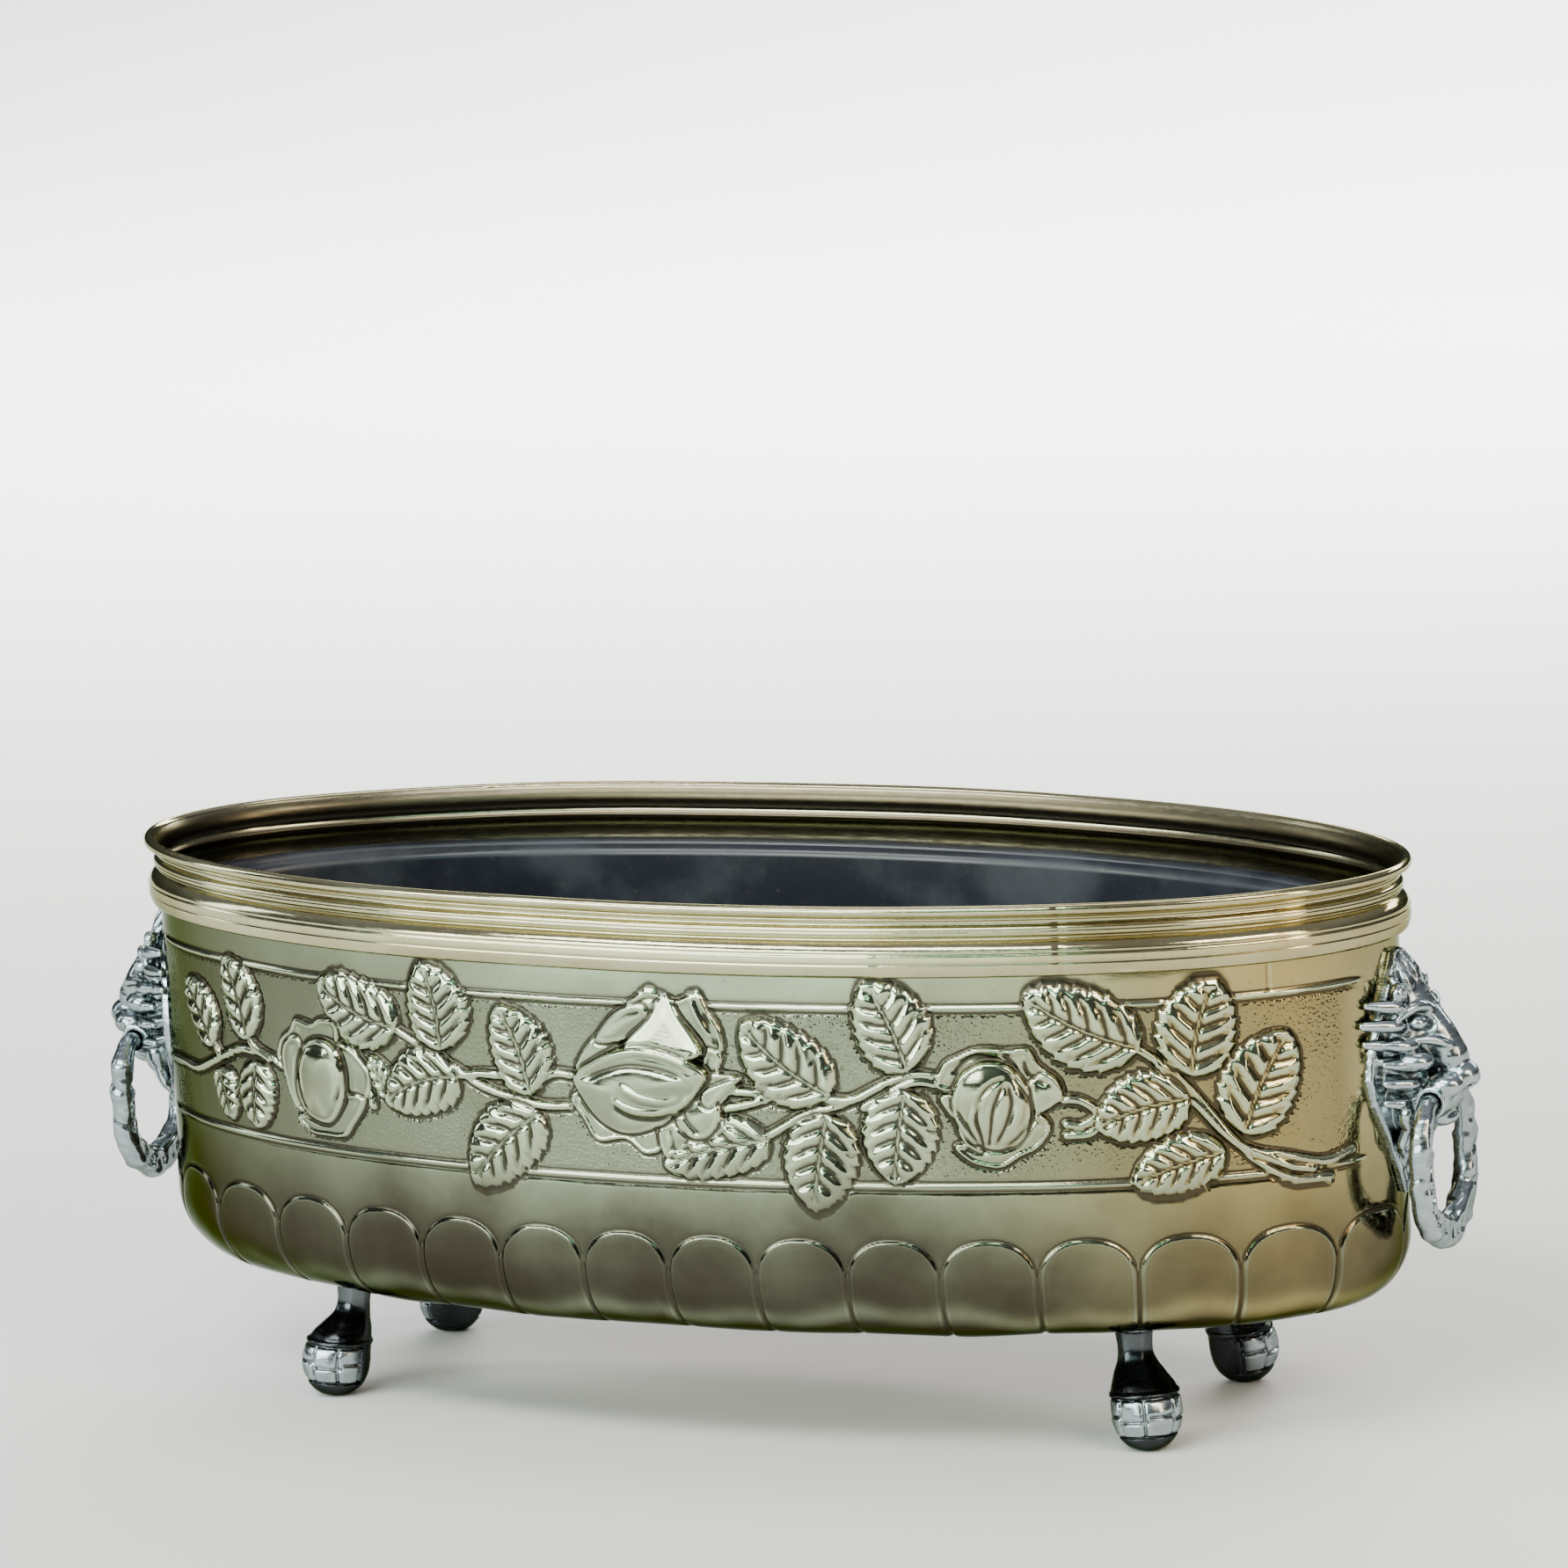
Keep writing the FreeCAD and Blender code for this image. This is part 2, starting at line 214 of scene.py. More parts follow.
def canvas_slice(line, low, high):
    first, last = (max(0, int((value - line[0]) / CANVAS_STEP)) for value in (low, high))
    return slice(first, last + 1)


def window(points, margin):
    """Part of the canvas round some points."""
    p = np.array(points, float)
    s_low, z_low = p.min(0) - margin
    s_high, z_high = p.max(0) + margin
    return canvas_slice(CANVAS_Z, z_low, z_high), canvas_slice(CANVAS_S, s_low, s_high)


def lay(place, cover, height, chase):
    """Lay a shape over what is there, and chase a line round its edge."""
    relief[place] = relief[place] * (1 - cover) + height * cover - chase
    ground[place] = ground[place] * (1 - cover)


def distance_to_path(s, z, path):
    """Distance to a line through points, and how far along it the nearest place is (0 to 1)."""
    best = np.full(s.shape, 1e9)
    along = np.zeros(s.shape)
    count = len(path) - 1
    for k in range(count):
        (s0, z0), (s1, z1) = path[k], path[k + 1]
        ds, dz = s1 - s0, z1 - z0
        t = np.clip(((s - s0) * ds + (z - z0) * dz) / (ds * ds + dz * dz + 1e-9), 0, 1)
        gap = np.hypot(s - s0 - t * ds, z - z0 - t * dz)
        nearer = gap < best
        best = np.where(nearer, gap, best)
        along = np.where(nearer, (k + t) / count, along)
    return best, along


def depth_in_outline(s, z, outline):
    """Distance inside a closed outline; negative outside."""
    ring = np.concatenate([outline, outline[:1]])
    gap, _ = distance_to_path(s, z, ring)
    inside = np.zeros(s.shape, bool)
    for (s0, z0), (s1, z1) in zip(ring, ring[1:]):
        crosses = (z0 > z) != (z1 > z)
        at = s0 + (z - z0) * (s1 - s0) / (z1 - z0 if z1 != z0 else 1e-9)
        inside ^= crosses & (s < at)
    return np.where(inside, gap, -gap)


def border_line(height):
    """Raised line with a groove on each side, fading out before the masks."""
    gap = np.abs(Z - height)
    ridge = 0.75 * bell(gap, 0.62) - 0.3 * bell(gap - 1.5, 0.5)
    relief[:] += ridge * smooth_step(236, 226, np.abs(S - FRIEZE_MIDDLE))


def leaf(base, tip, width, bow, veins):
    """Serrated rose leaf with a chased midrib and puffed fields between its side veins."""
    base = np.array(base, float)
    tip = np.array(tip, float)
    length = np.hypot(*(tip - base))
    axis = (tip - base) / length
    place = window([base, tip], width * 0.75)
    ds = S[place] - base[0]
    dz = Z[place] - base[1]
    u = (ds * axis[0] + dz * axis[1]) / length
    inner = np.clip(u, 0.001, 0.999)
    v = -ds * axis[1] + dz * axis[0] + bow * np.sin(math.pi * inner)
    outline = inner ** 0.45 * (1 - inner) ** 0.6 / 0.49
    teeth = 0.10 * (np.mod(inner * 8 + 0.3 * np.sign(v), 1) - 0.5)
    half = 0.5 * width * outline * (1 + teeth)
    beyond = np.maximum(np.maximum(-u, u - 1), 0) * length
    depth = half - np.abs(v) - 3 * beyond
    cover = smooth_step(-0.25, 0.35, depth)
    across = np.clip(np.abs(v) / (half + 0.3), 0, 1)
    wave = np.abs(np.sin(math.pi * (veins * (inner * 1.08 - 0.30 * across ** 1.4 * outline) + 0.25)))
    reach = smooth_step(0.92, 0.45, across) * smooth_step(0.3, 1.4, np.abs(v)) * smooth_step(1.0, 0.86, u)
    edge = smooth_step(0, 2.2, depth)
    height = 0.7 + 0.65 * edge + 0.55 * edge * (1 - across ** 2) + reach * (1.25 * wave - 0.55)
    height -= (0.95 * bell(v, 0.95) - bell(v, 0.42)) * smooth_step(1.02, 0.9, u)
    lay(place, cover, height, 0.5 * bell(depth + 0.55, 0.5) * (1 - cover))


def stem(points):
    path = smooth_path(points)
    place = window(path, 4)
    gap, _ = distance_to_path(S[place], Z[place], path)
    cover = smooth_step(STEM_HALF + 0.25, STEM_HALF - 0.2, gap)
    round_top = STEM_HEIGHT * np.sqrt(np.clip(1 - (gap / (STEM_HALF + 0.3)) ** 2, 0, 1)) + 0.25
    lay(place, cover, round_top, 0.42 * bell(gap - STEM_HALF - 0.65, 0.45) * (1 - cover))


def petal(points, height, dome, lip, lean=(0, 0), dome_reach=7):
    """Closed petal outline, domed, with a turned-over edge; lean tips it along s and z."""
    outline = smooth_path(points, 6, closed=True)
    place = window(outline, 3)
    s = S[place]
    z = Z[place]
    depth = depth_in_outline(s, z, outline)
    cover = smooth_step(-0.25, 0.35, depth)
    inner = np.clip(depth / dome_reach, 0, 1)
    centre = outline.mean(0)
    shape = height + dome * (1 - (1 - inner) ** 2) + lip * bell(depth - 0.75, 0.55)
    shape = shape + lean[0] * (s - centre[0]) + lean[1] * (z - centre[1])
    lay(place, cover, shape, 0.5 * bell(depth + 0.5, 0.5) * (1 - cover))


def crease(points, depth, width):
    """A ridge (positive) or groove (negative) drawn on what is already there, fading at its ends."""
    path = smooth_path(points)
    place = window(path, 4)
    gap, along = distance_to_path(S[place], Z[place], path)
    ends = smooth_step(0, 0.15, along) * smooth_step(1, 0.85, along)
    relief[place] += depth * bell(gap, width) * ends


def patches():
    """Uneven strength of the punching, from 0.2 to 1."""
    cloud = np.sin(S / 9.0 + 2 * np.sin(Z / 7.0)) + np.sin(Z / 5.0 + 2 * np.sin(S / 13.0 + 1))
    return 0.6 + 0.2 * cloud


def frieze_ground():
    """Punched ground between the border lines."""
    border_line(UPPER_LINE)
    border_line(LOWER_LINE)
    above = smooth_step(LOWER_LINE + 0.8, LOWER_LINE + 2, Z)
    below = smooth_step(UPPER_LINE - 0.8, UPPER_LINE - 2, Z)
    ground[:] = above * below * smooth_step(232, 222, np.abs(S - FRIEZE_MIDDLE))
    punched = np.random.default_rng(11).normal(0, 1, S.shape)
    relief[:] += ground * (0.030 * punched * patches() - 0.2)


def large_rose():
    petal([(-27, 121), (-23, 113), (-18, 106), (-8, 107), (-1, 102.5), (6, 106), (6, 118), (-12, 126)],
          0.6, 0.7, 0.7)
    petal([(-5, 150), (-1, 155), (3, 157), (8, 155), (13, 154), (20, 156.5), (23, 151), (27, 144), (26, 136),
           (10, 136)], 0.6, 0.6, 0.8)
    petal([(22, 138), (27, 136), (26, 131), (29, 129), (20, 128)], 0.7, 0.5, 0.6)
    petal([(-25, 129), (-22, 136), (-15, 143), (-11, 146), (-8, 139), (-14, 132)], 0.7, 0.8, 0.4)
    petal([(-17, 139), (-13, 146), (-6, 151), (1, 151.5), (2, 146), (-6, 140)], 1.0, 0.9, 0.4)
    crease([(10, 155), (15, 147), (21, 139)], -0.6, 0.8)
    crease([(17, 155.5), (20, 148), (25, 141)], 0.7, 0.9)
    crease([(22, 151), (23, 145), (26, 138)], -0.6, 0.7)
    crease([(-2, 153), (3, 154), (8, 153.5)], -0.5, 0.7)
    petal([(-6, 138), (2, 147), (8, 155.5), (13, 149), (21, 137), (8, 134)], 2.3, 0.8, 0.3, lean=(0, -0.20),
          dome_reach=5)
    petal([(18, 129), (33, 129.5), (29, 123), (26, 119), (27, 112), (21, 108), (12, 105), (6, 102), (4, 111),
           (10, 118)], 0.9, 1.1, 0.6)
    petal([(10, 116), (17, 121), (23, 122), (26, 117), (22, 110), (15, 109)], 1.7, 0.8, 0.3)
    petal([(20, 124), (32, 129), (28, 124), (22, 119)], 1.9, 0.6, 0.3)
    petal([(-26, 127), (-18, 133), (-8, 137.5), (2, 138.5), (12, 136.5), (22, 131), (19, 124), (12, 117),
           (3, 111.5), (-8, 109), (-17, 113), (-23, 120)], 2.2, 3.4, 0.2, lean=(0.04, 0.05), dome_reach=16)
    crease([(-26, 127), (-17, 132.3), (-7, 136.2), (2, 137), (12, 135), (21, 130.5)], 1.1, 1.3)
    crease([(-22, 126), (-14, 129.8), (-4, 132.4), (8, 131.4), (18, 127.6)], -0.6, 0.9)
    crease([(-12, 122), (-5, 118), (5, 117), (13, 119.5), (18, 124)], 0.85, 1.4)
    crease([(-8, 126), (0, 122), (8, 121), (14, 123)], 0.7, 1.0)
    crease([(-12, 119), (-5, 115), (4, 114.5), (12, 117)], -0.6, 1.0)
    crease([(12, 119), (15, 114), (19, 110)], -0.6, 0.9)
    crease([(8, 112), (9, 107), (8, 104)], -0.5, 0.8)
    crease([(13, 112), (14, 108), (13, 106)], -0.4, 0.7)


def small_rose():
    """Rose at the left end: a plump bud in a ruffled cup."""
    petal([(-148, 122), (-147, 129), (-142, 133), (-139, 137), (-132, 136), (-128, 138), (-121, 138),
           (-119, 133), (-124, 125), (-138, 122)], 0.6, 0.6, 0.8)
    petal([(-120, 130), (-112, 128), (-106, 121), (-108, 113), (-113, 109), (-118, 114)], 0.6, 0.6, 0.7)
    petal([(-140, 104), (-134, 99), (-126, 98.5), (-119, 99), (-115, 103), (-109, 112), (-116, 114),
           (-128, 108)], 0.6, 0.6, 0.7)
    petal([(-146, 123), (-143, 130), (-137, 130), (-134, 118), (-136, 106), (-142, 109)], 1.0, 0.8, 0.4)
    petal([(-139, 116), (-136, 127), (-129, 131.5), (-121, 130), (-117, 122), (-118, 111), (-124, 103.5),
           (-132, 104), (-137, 108)], 1.9, 2.5, 0.4, lean=(0.03, 0.05), dome_reach=11)
    crease([(-133, 130), (-138, 122), (-137, 112), (-134, 106)], -0.8, 0.8)
    crease([(-131, 128), (-135, 121), (-134.5, 112)], 0.5, 0.7)
    crease([(-119, 127), (-117, 119), (-121, 110)], -0.6, 0.8)


def bud_rose():
    """Rose right of the middle: overlapping bud petals in an open ruffle."""
    petal([(99, 126), (100, 134), (105, 137), (112, 139.5), (121, 139), (128, 139), (131, 134), (137, 129),
           (138, 123), (131, 121), (118, 124)], 0.6, 0.6, 0.9)
    petal([(124, 124), (132, 131), (137, 128), (138, 123), (133, 119), (127, 117)], 1.3, 0.9, 0.3)
    petal([(103, 108), (107, 103), (112, 101), (118, 100.5), (124, 104), (130, 107), (134, 114), (128, 118),
           (114, 110)], 0.6, 0.7, 0.8)
    petal([(99, 124), (103, 116), (106, 109), (112, 106), (116, 112), (112, 124)], 1.0, 0.8, 0.5)
    petal([(103, 124), (106, 131), (113, 135), (121, 134), (127, 127), (128, 117), (124, 109), (116, 106.5),
           (109, 109), (104, 116)], 1.8, 2.5, 0.3, lean=(0, 0.05), dome_reach=12)
    crease([(121, 131), (114, 126), (110.5, 118), (112, 110), (112.5, 105)], -1.0, 0.8)
    crease([(120.5, 130), (116.5, 121), (115, 113), (113.6, 106)], -0.9, 0.8)
    crease([(121, 129), (122, 122), (120, 115), (115.5, 107)], -0.9, 0.8)
    crease([(122, 131), (127, 124), (128, 117), (124, 111), (117.5, 106)], -0.8, 0.8)
    crease([(119, 130), (112.5, 123), (109, 116), (110.5, 110)], 0.7, 0.8)
    crease([(123.5, 127), (124.5, 120), (121, 112)], 0.6, 0.9)
    crease([(103.5, 121), (108, 113), (112, 106.5)], -0.8, 0.7)
    crease([(103, 131), (110, 136.5), (120, 135.5)], -0.9, 1.0)
    crease([(126, 136), (128, 131), (134, 127)], -0.6, 0.8)
    crease([(119, 138.5), (123, 134), (124, 128)], -0.6, 0.8)


STEMS = (
    ((-222, 112), (-206, 112.5), (-196, 112.5), (-184, 117), (-168, 123), (-152, 122), (-144, 119)),
    ((-166, 130), (-161, 125), (-153, 121.5)),
    ((-184, 123), (-180, 119), (-174, 121)),
    ((-98, 139), (-88, 134.5), (-78, 129), (-70, 126), (-61, 121.5), (-50, 118.5), (-38, 116.5), (-28, 117)),
    ((-71, 124), (-60, 125.5), (-48, 125), (-40, 124.5), (-33, 127.5), (-26, 127)),
    ((-106, 111), (-108, 121), (-113, 128), (-118, 137)),
    ((28, 124.5), (38, 124), (48, 122)),
    ((27, 118.5), (36, 120.5), (46, 124)),
    ((41, 110), (55, 117.5), (68, 121.5), (79, 127), (90, 130.5), (99, 130)),
    ((58, 123), (70, 122.5), (80, 127)),
    ((74, 120), (80, 123.5), (91, 128.5), (101, 127)),
    ((137, 122.5), (144, 121.5), (149, 117), (144, 113.5), (139, 114)),
    ((139, 110.5), (146, 111), (150, 114)),
    ((160, 139.5), (170, 132), (178, 124), (186, 114), (194, 104), (203, 96), (212, 91.5), (224, 90.5)),
    ((169, 132), (175, 124), (181, 118), (189, 108.5), (197, 102.5), (210, 99), (222, 96), (233, 98)),
    ((199, 101.5), (210, 96), (218, 94)),
)

# base, tip, width, bow, side veins
LEAVES = (
    ((-184, 122), (-201, 143), 17, 1.0, 4),
    ((-163, 127), (-175, 154), 20, 1.5, 4),
    ((-181, 115), (-174, 98), 14, -1.0, 4),
    ((-159, 120), (-160, 97), 19, 1.0, 4),
    ((-98, 114), (-106, 128), 10, 0.0, 4),
    ((-94, 138), (-127, 151), 24, -2.5, 5),
    ((-76, 132), (-82, 161), 25, 2.0, 5),
    ((-70, 124), (-100, 113), 23, 2.5, 5),
    ((-42, 120), (-53, 149), 23, 2.0, 5),
    ((-39, 114), (-66, 89), 24, 2.0, 5),
    ((63, 124), (34, 147), 25, -2.0, 5),
    ((89, 132), (76, 161), 25, 1.5, 5),
    ((42, 109), (5, 99), 20, 1.5, 5),
    ((62, 118), (56, 86), 25, 0.5, 5),
    ((88, 126), (83, 95), 25, 0.5, 5),
    ((163, 138), (127, 156), 26, -2.0, 6),
    ((179, 128), (187, 159), 26, -1.5, 5),
    ((195, 108), (211, 140), 26, -1.5, 5),
    ((178, 121), (148, 113), 23, 1.5, 5),
    ((189, 103), (159, 94), 19, 1.0, 5),
)


def draw_frieze():
    frieze_ground()
    for points in STEMS:
        stem(points)
    for base, tip, width, bow, veins in LEAVES:
        leaf(base, tip, width, bow, veins)
    small_rose()
    large_rose()
    bud_rose()


def canvas_value(field, s, z):
    """Sample the canvas at wall places; the frieze is struck twice, on the front and on the back."""
    near = np.mod(s + PERIMETER / 4, PERIMETER / 2) - PERIMETER / 4
    column = np.clip((near - CANVAS_S[0]) / CANVAS_STEP, 0, len(CANVAS_S) - 1.001)
    row = (z - CANVAS_Z[0]) / CANVAS_STEP
    inside = (row >= 0) & (row <= len(CANVAS_Z) - 2) & (np.abs(near) < CANVAS_S[-1] - 1)
    row = np.clip(row, 0, len(CANVAS_Z) - 1.001)
    i = row.astype(int)
    j = column.astype(int)
    fi = row - i
    fj = column - j
    top = field[i, j] * (1 - fj) + field[i, j + 1] * fj
    bottom = field[i + 1, j] * (1 - fj) + field[i + 1, j + 1] * fj
    return np.where(inside, top * (1 - fi) + bottom * fi, 0)


# ---------------- the wall

def ripples(s, z, seed, size, shortest=20.0, longest=95.0, count=16):
    """Slow waves of a hand-worked sheet; they match where the oval closes."""
    chance = np.random.default_rng(seed)
    total = np.zeros(np.broadcast(s, z).shape)
    for _ in range(count):
        wave = chance.uniform(shortest, longest)
        slant = chance.uniform(0, math.pi)
        turns = round(PERIMETER / wave * math.cos(slant))
        start = chance.uniform(0, TWO_PI)
        cycles = turns * s / PERIMETER + z * math.sin(slant) / wave
        total += wave / longest * np.cos(TWO_PI * cycles + start)
    return size * total / math.sqrt(count)


def lobe_phase(s):
    """Whole numbers fall on the grooves between lobes, which are a little uneven, being struck by hand."""
    drift = LOBE_DRIFT * np.sin(2 * TWO_PI * (s - 25) / PERIMETER)
    return (s - LOBE_START + drift) * LOBES / PERIMETER


def lobe_height(s, z):
    """Round-topped lobes with V grooves between them and a chased line over each."""
    across = np.abs(2 * np.mod(lobe_phase(s), 1) - 1)
    rise = np.maximum(0, (z - LOBE_SHOULDER) / (LOBE_TOP - LOBE_SHOULDER))
    inside = across ** 2.3 + rise ** 2 - 1
    steep_z, steep_s = np.gradient(inside, z[:, 0], s[0, :])
    gap = np.clip(inside / (np.hypot(steep_z, steep_s) + 1e-4), -12, 12)
    depth = 0.5 + 0.5 * smooth_step(71, 60, z)
    crest = 0.45 * (1 - (1 - np.clip(-gap / 4, 0, 1)) ** 2) + 0.22 * bell(gap + 1.3, 0.7)
    lobe = crest - depth * np.exp(-np.clip(-gap / 0.8, 0, 9) ** 1.3)
    plain = -depth * np.exp(-np.clip(gap / 0.55, 0, 9) ** 1.5)
    return np.where(gap < 0, lobe, plain)


def wall_rows():
    """Mesh rows down the wall, round the curl and along the flange: flat distance, inset, z and normal."""
    spans = ((WALL_TOP, 155, 8), (155, 92, 108), (92, 79, 9), (79, CURL_TOP, 24))
    rows = [np.linspace(top, low, count, endpoint=False) for top, low, count in spans]
    z = np.concatenate(rows)
    turn = np.linspace(0, math.pi / 2, 40)
    drop = CURL_TOP - BASE_Z
    flange = np.linspace(CURL_INSET + 1, FLANGE_INSET, 12)
    inset = np.concatenate([np.zeros(len(z)), CURL_INSET * (1 - np.cos(turn)), flange])
    height = np.concatenate([z, CURL_TOP - drop * np.sin(turn), np.full(12, BASE_Z)])
    out = np.concatenate([np.ones(len(z)), np.cos(turn) / CURL_INSET, np.zeros(12)])
    down = np.concatenate([np.zeros(len(z)), np.sin(turn) / drop, np.ones(12)])
    size = np.hypot(out, down)
    travel = np.concatenate([[0], np.cumsum(np.hypot(np.diff(inset), np.diff(height)))])
    return WALL_TOP - travel, inset, height, out / size, down / size


def wall_seam(s):
    """Upright soldered seam of the sheet, near the right end."""
    gap = s - SEAM_S
    return 0.22 * smooth_step(-0.5, 0.5, gap) * smooth_step(30, 3, gap) - 0.25 * bell(gap, 0.5)


def tone_at(s, middle, spread):
    """A patch of other tone round a place on the wall: 1 in its middle, 0 away from it."""
    gap = np.mod(s - middle + PERIMETER / 2, PERIMETER) - PERIMETER / 2
    return bell(gap, spread)


def wall_tarnish_and_painted_shade(s, z):
    """Darker lower down and a little less at the right end: tarnish with a painted reflection of dark ground.
    Lighter on the turn of the lobes: a painted reflection of the floor. Darkest under the pot: painted shade.
    """
    level = z + 2 * np.sin(s / 17) + 1.5 * np.sin(s / 6)
    side = 0.86 * smooth_step(126, 58, level) * (1 - 0.25 * tone_at(s, 190, 70))
    turn = 0.3 * bell(level - 49, 4)
    return side - turn + 0.35 * smooth_step(45, 40, level)


def build_wall(material):
    flat, inset, height, out, down = wall_rows()
    columns = int(PERIMETER / 0.6)
    s, z, point, normal = oval_grid(columns, flat)
    fade = smooth_step(FLANGE_INSET - 2, CURL_INSET - 4, inset)[:, None]
    frieze = canvas_value(relief, s, z)
    lobes = lobe_height(s, z) * smooth_step(84, 80, z) * fade
    worked = frieze + lobes + wall_seam(s) * smooth_step(150, 154, z)
    slow = ripples(s, z, 5, 0.36) + ripples(s, z, 6, 0.055, 9, 26, 30)
    proud = worked + slow * smooth_step(WALL_TOP, WALL_TOP - 8, z) * (0.25 + 0.75 * fade)
    reach = out[:, None] * proud - inset[:, None]
    outer = stand_off(point, normal, reach, height[:, None] - down[:, None] * proud)

    inner_z = np.array([BASE_Z + SHEET, BASE_Z + SHEET + 1, 52, CURL_TOP - 4, 90, 130, WALL_TOP])
    inner_inset = np.array([FLANGE_INSET, CURL_INSET + 2, 8.5, 2.2, SHEET, SHEET, SHEET]) + 0.4
    empty = np.zeros((len(inner_z), columns))
    inner = stand_off(point, normal, empty - inner_inset[:, None], empty + inner_z[:, None])
    sheet = np.concatenate([outer, inner])
    rows = len(sheet)
    faces = grid_faces(rows + 1, columns) % (rows * columns)

    fine = worked - blurred(worked, 2)
    broad = worked - blurred(worked, 7)
    shades = {
        # cavity: negative in recesses and round raised work, which are darkened there as tarnish and painted
        # shade; positive on crests, which are lightened as wear and painted highlight
        "cavity": 1.45 * fine + 0.5 * broad,
        "punched": 0.5 * canvas_value(ground, s, z),
        # painted reflection and painted shade lower down on the wall, with tarnish
        "tarnish_and_painted_shade": wall_tarnish_and_painted_shade(s, z),
        # painted golden reflection at the right end, and painted dark green reflection at the left end
        "gold_tint_and_reflection": 0.8 * tone_at(s, GOLD_REFLECTION_S, 75),
        "painted_dark_reflection": tone_at(s, DARK_REFLECTION_S, 130),
    }
    shades = {shade: np.concatenate([values, empty]) for shade, values in shades.items()}
    wall = make_piece("wall", sheet.reshape(-1, 3), [faces], material, "pot", shades)
    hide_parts("body_wall")


# ---------------- the rim

# Profile of the band up its outside and down its inside: distance out of the wall oval, height
RIM_OUTSIDE = (
    (0.2, 162.7), (1.4, 162.5), (2.7, 163.0), (3.45, 164.2), (3.85, 165.8), (4.0, 167.3), (4.02, 168.8),
    (3.9, 170.5), (3.3, 172.2), (2.2, 173.6), (1.1, 174.4), (0.75, 174.9), (0.95, 175.4), (1.55, 175.8),
    (1.9, 176.6), (1.95, 177.4), (1.85, 178.2), (1.35, 178.9), (0.75, 179.4), (0.62, 180.0), (0.8, 180.6),
    (1.15, 181.0), (1.15, 181.5), (0.85, 181.95), (0.85, 182.4), (1.35, 182.8), (2.1, 182.7),
)
RIM_INSIDE = (
    (1.2, 184.4), (0.4, 183.2), (-0.2, 181.8), (-0.35, 180.0), (0.3, 178.6), (0.75, 177.0), (0.2, 175.6),
    (-0.25, 174.9), (0.5, 173.6), (1.9, 172.2), (2.8, 170.0), (3.0, 167.5), (2.5, 165.0), (1.4, 163.8),
    (0.1, 163.3),
)
ROLL_RADIUS = 1.75

# Height and depth of the lines struck round the band
STRUCK_LINES = ((170.5, 0.4), (167.3, 0.4), (177.4, 0.22), (164.6, 0.12))

# Places along the band: where a strip of the torus laps over, a kink, and the first of its two joins
LAP_S = 80
KINK_S = 160
JOIN_S = 139.0


def build_rim(material):
    roll_centre = np.array([LIP_OUT - ROLL_RADIUS, HEIGHT - ROLL_RADIUS])
    turn = np.radians(np.linspace(-115, 165, 29))
    roll = roll_centre + ROLL_RADIUS * np.stack([np.cos(turn), np.sin(turn)], -1)
    profile = smooth_path(np.concatenate([smooth_path(RIM_OUTSIDE, 4), roll, smooth_path(RIM_INSIDE, 3)]), 1)
    columns = int(PERIMETER / 1.1)
    s, z, point, normal = oval_grid(columns, profile[:, 1])
    outside = np.arange(len(profile))[:, None] < len(profile) - 3 * len(RIM_INSIDE)
    offset = np.broadcast_to(profile[:, :1], s.shape).copy()
    for line, cut in STRUCK_LINES:
        offset -= outside * cut * bell(z - line, 0.22) * (offset > 1)
    low_strip = smooth_step(170.4, 170.0, z) * smooth_step(163, 164, z) * outside
    lap = smooth_step(LAP_S + 0.5, LAP_S - 0.4, s) * smooth_step(LAP_S - 60, LAP_S - 4, s)
    offset += 0.22 * low_strip * lap
    offset += 0.5 * bell(s - KINK_S, 5) * bell(z - 163.8, 1.2)
    for join in (JOIN_S, JOIN_S + PERIMETER / 2):
        offset -= outside * 0.3 * bell(s - join, 0.9)
    offset += ripples(s, z, 21, 0.13, 24, 110) * smooth_step(162.5, 164, z) * 0.8
    height = z + ripples(s, 0 * z, 22, 0.22, 60, 200)
    hoop = stand_off(point, normal, offset, height)
    faces = grid_faces(len(profile) + 1, columns) % (len(profile) * columns)
    cavity = offset - blurred(offset, 3)
    # The inside of the band is darkened in its cavity shade below: painted shade.
    inside = np.broadcast_to(1.0 - outside, s.shape)
    # gold: a golden tint all round the band, and a painted golden reflection at the right end
    rim = make_piece("rim", hoop.reshape(-1, 3), [faces[:, ::-1]], material, "pot",
                     {"cavity": 0.8 * cavity - 0.4 * inside, "gold_tint_and_reflection": 0.15 + 0.35 * tone_at(s, GOLD_REFLECTION_S, 90)})
    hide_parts("rim_band")


# ---------------- castings, modelled in a block of clay

HINGE_OUT = 15.0
HINGE_Z = 110.5
BAR_RADIUS = 2.9
RING_BORE = 3.5
JAW_HALF = 10.4
RING_SWEEP = 6.3
FOOT_X = 141.0
FOOT_Y = 38.0
CLAY_STEP = 0.5
HOLLOW_SHADE = 0.32


def shared(*shapes):
    """What several shapes have in common."""
    return functools.reduce(np.maximum, shapes)


def blurred_block(block, reach):
    """Mean over a small cube."""
    out = block
    for axis in range(3):
        out = sum(np.roll(out, k, axis) for k in range(-reach, reach + 1)) / (2 * reach + 1)
    return out


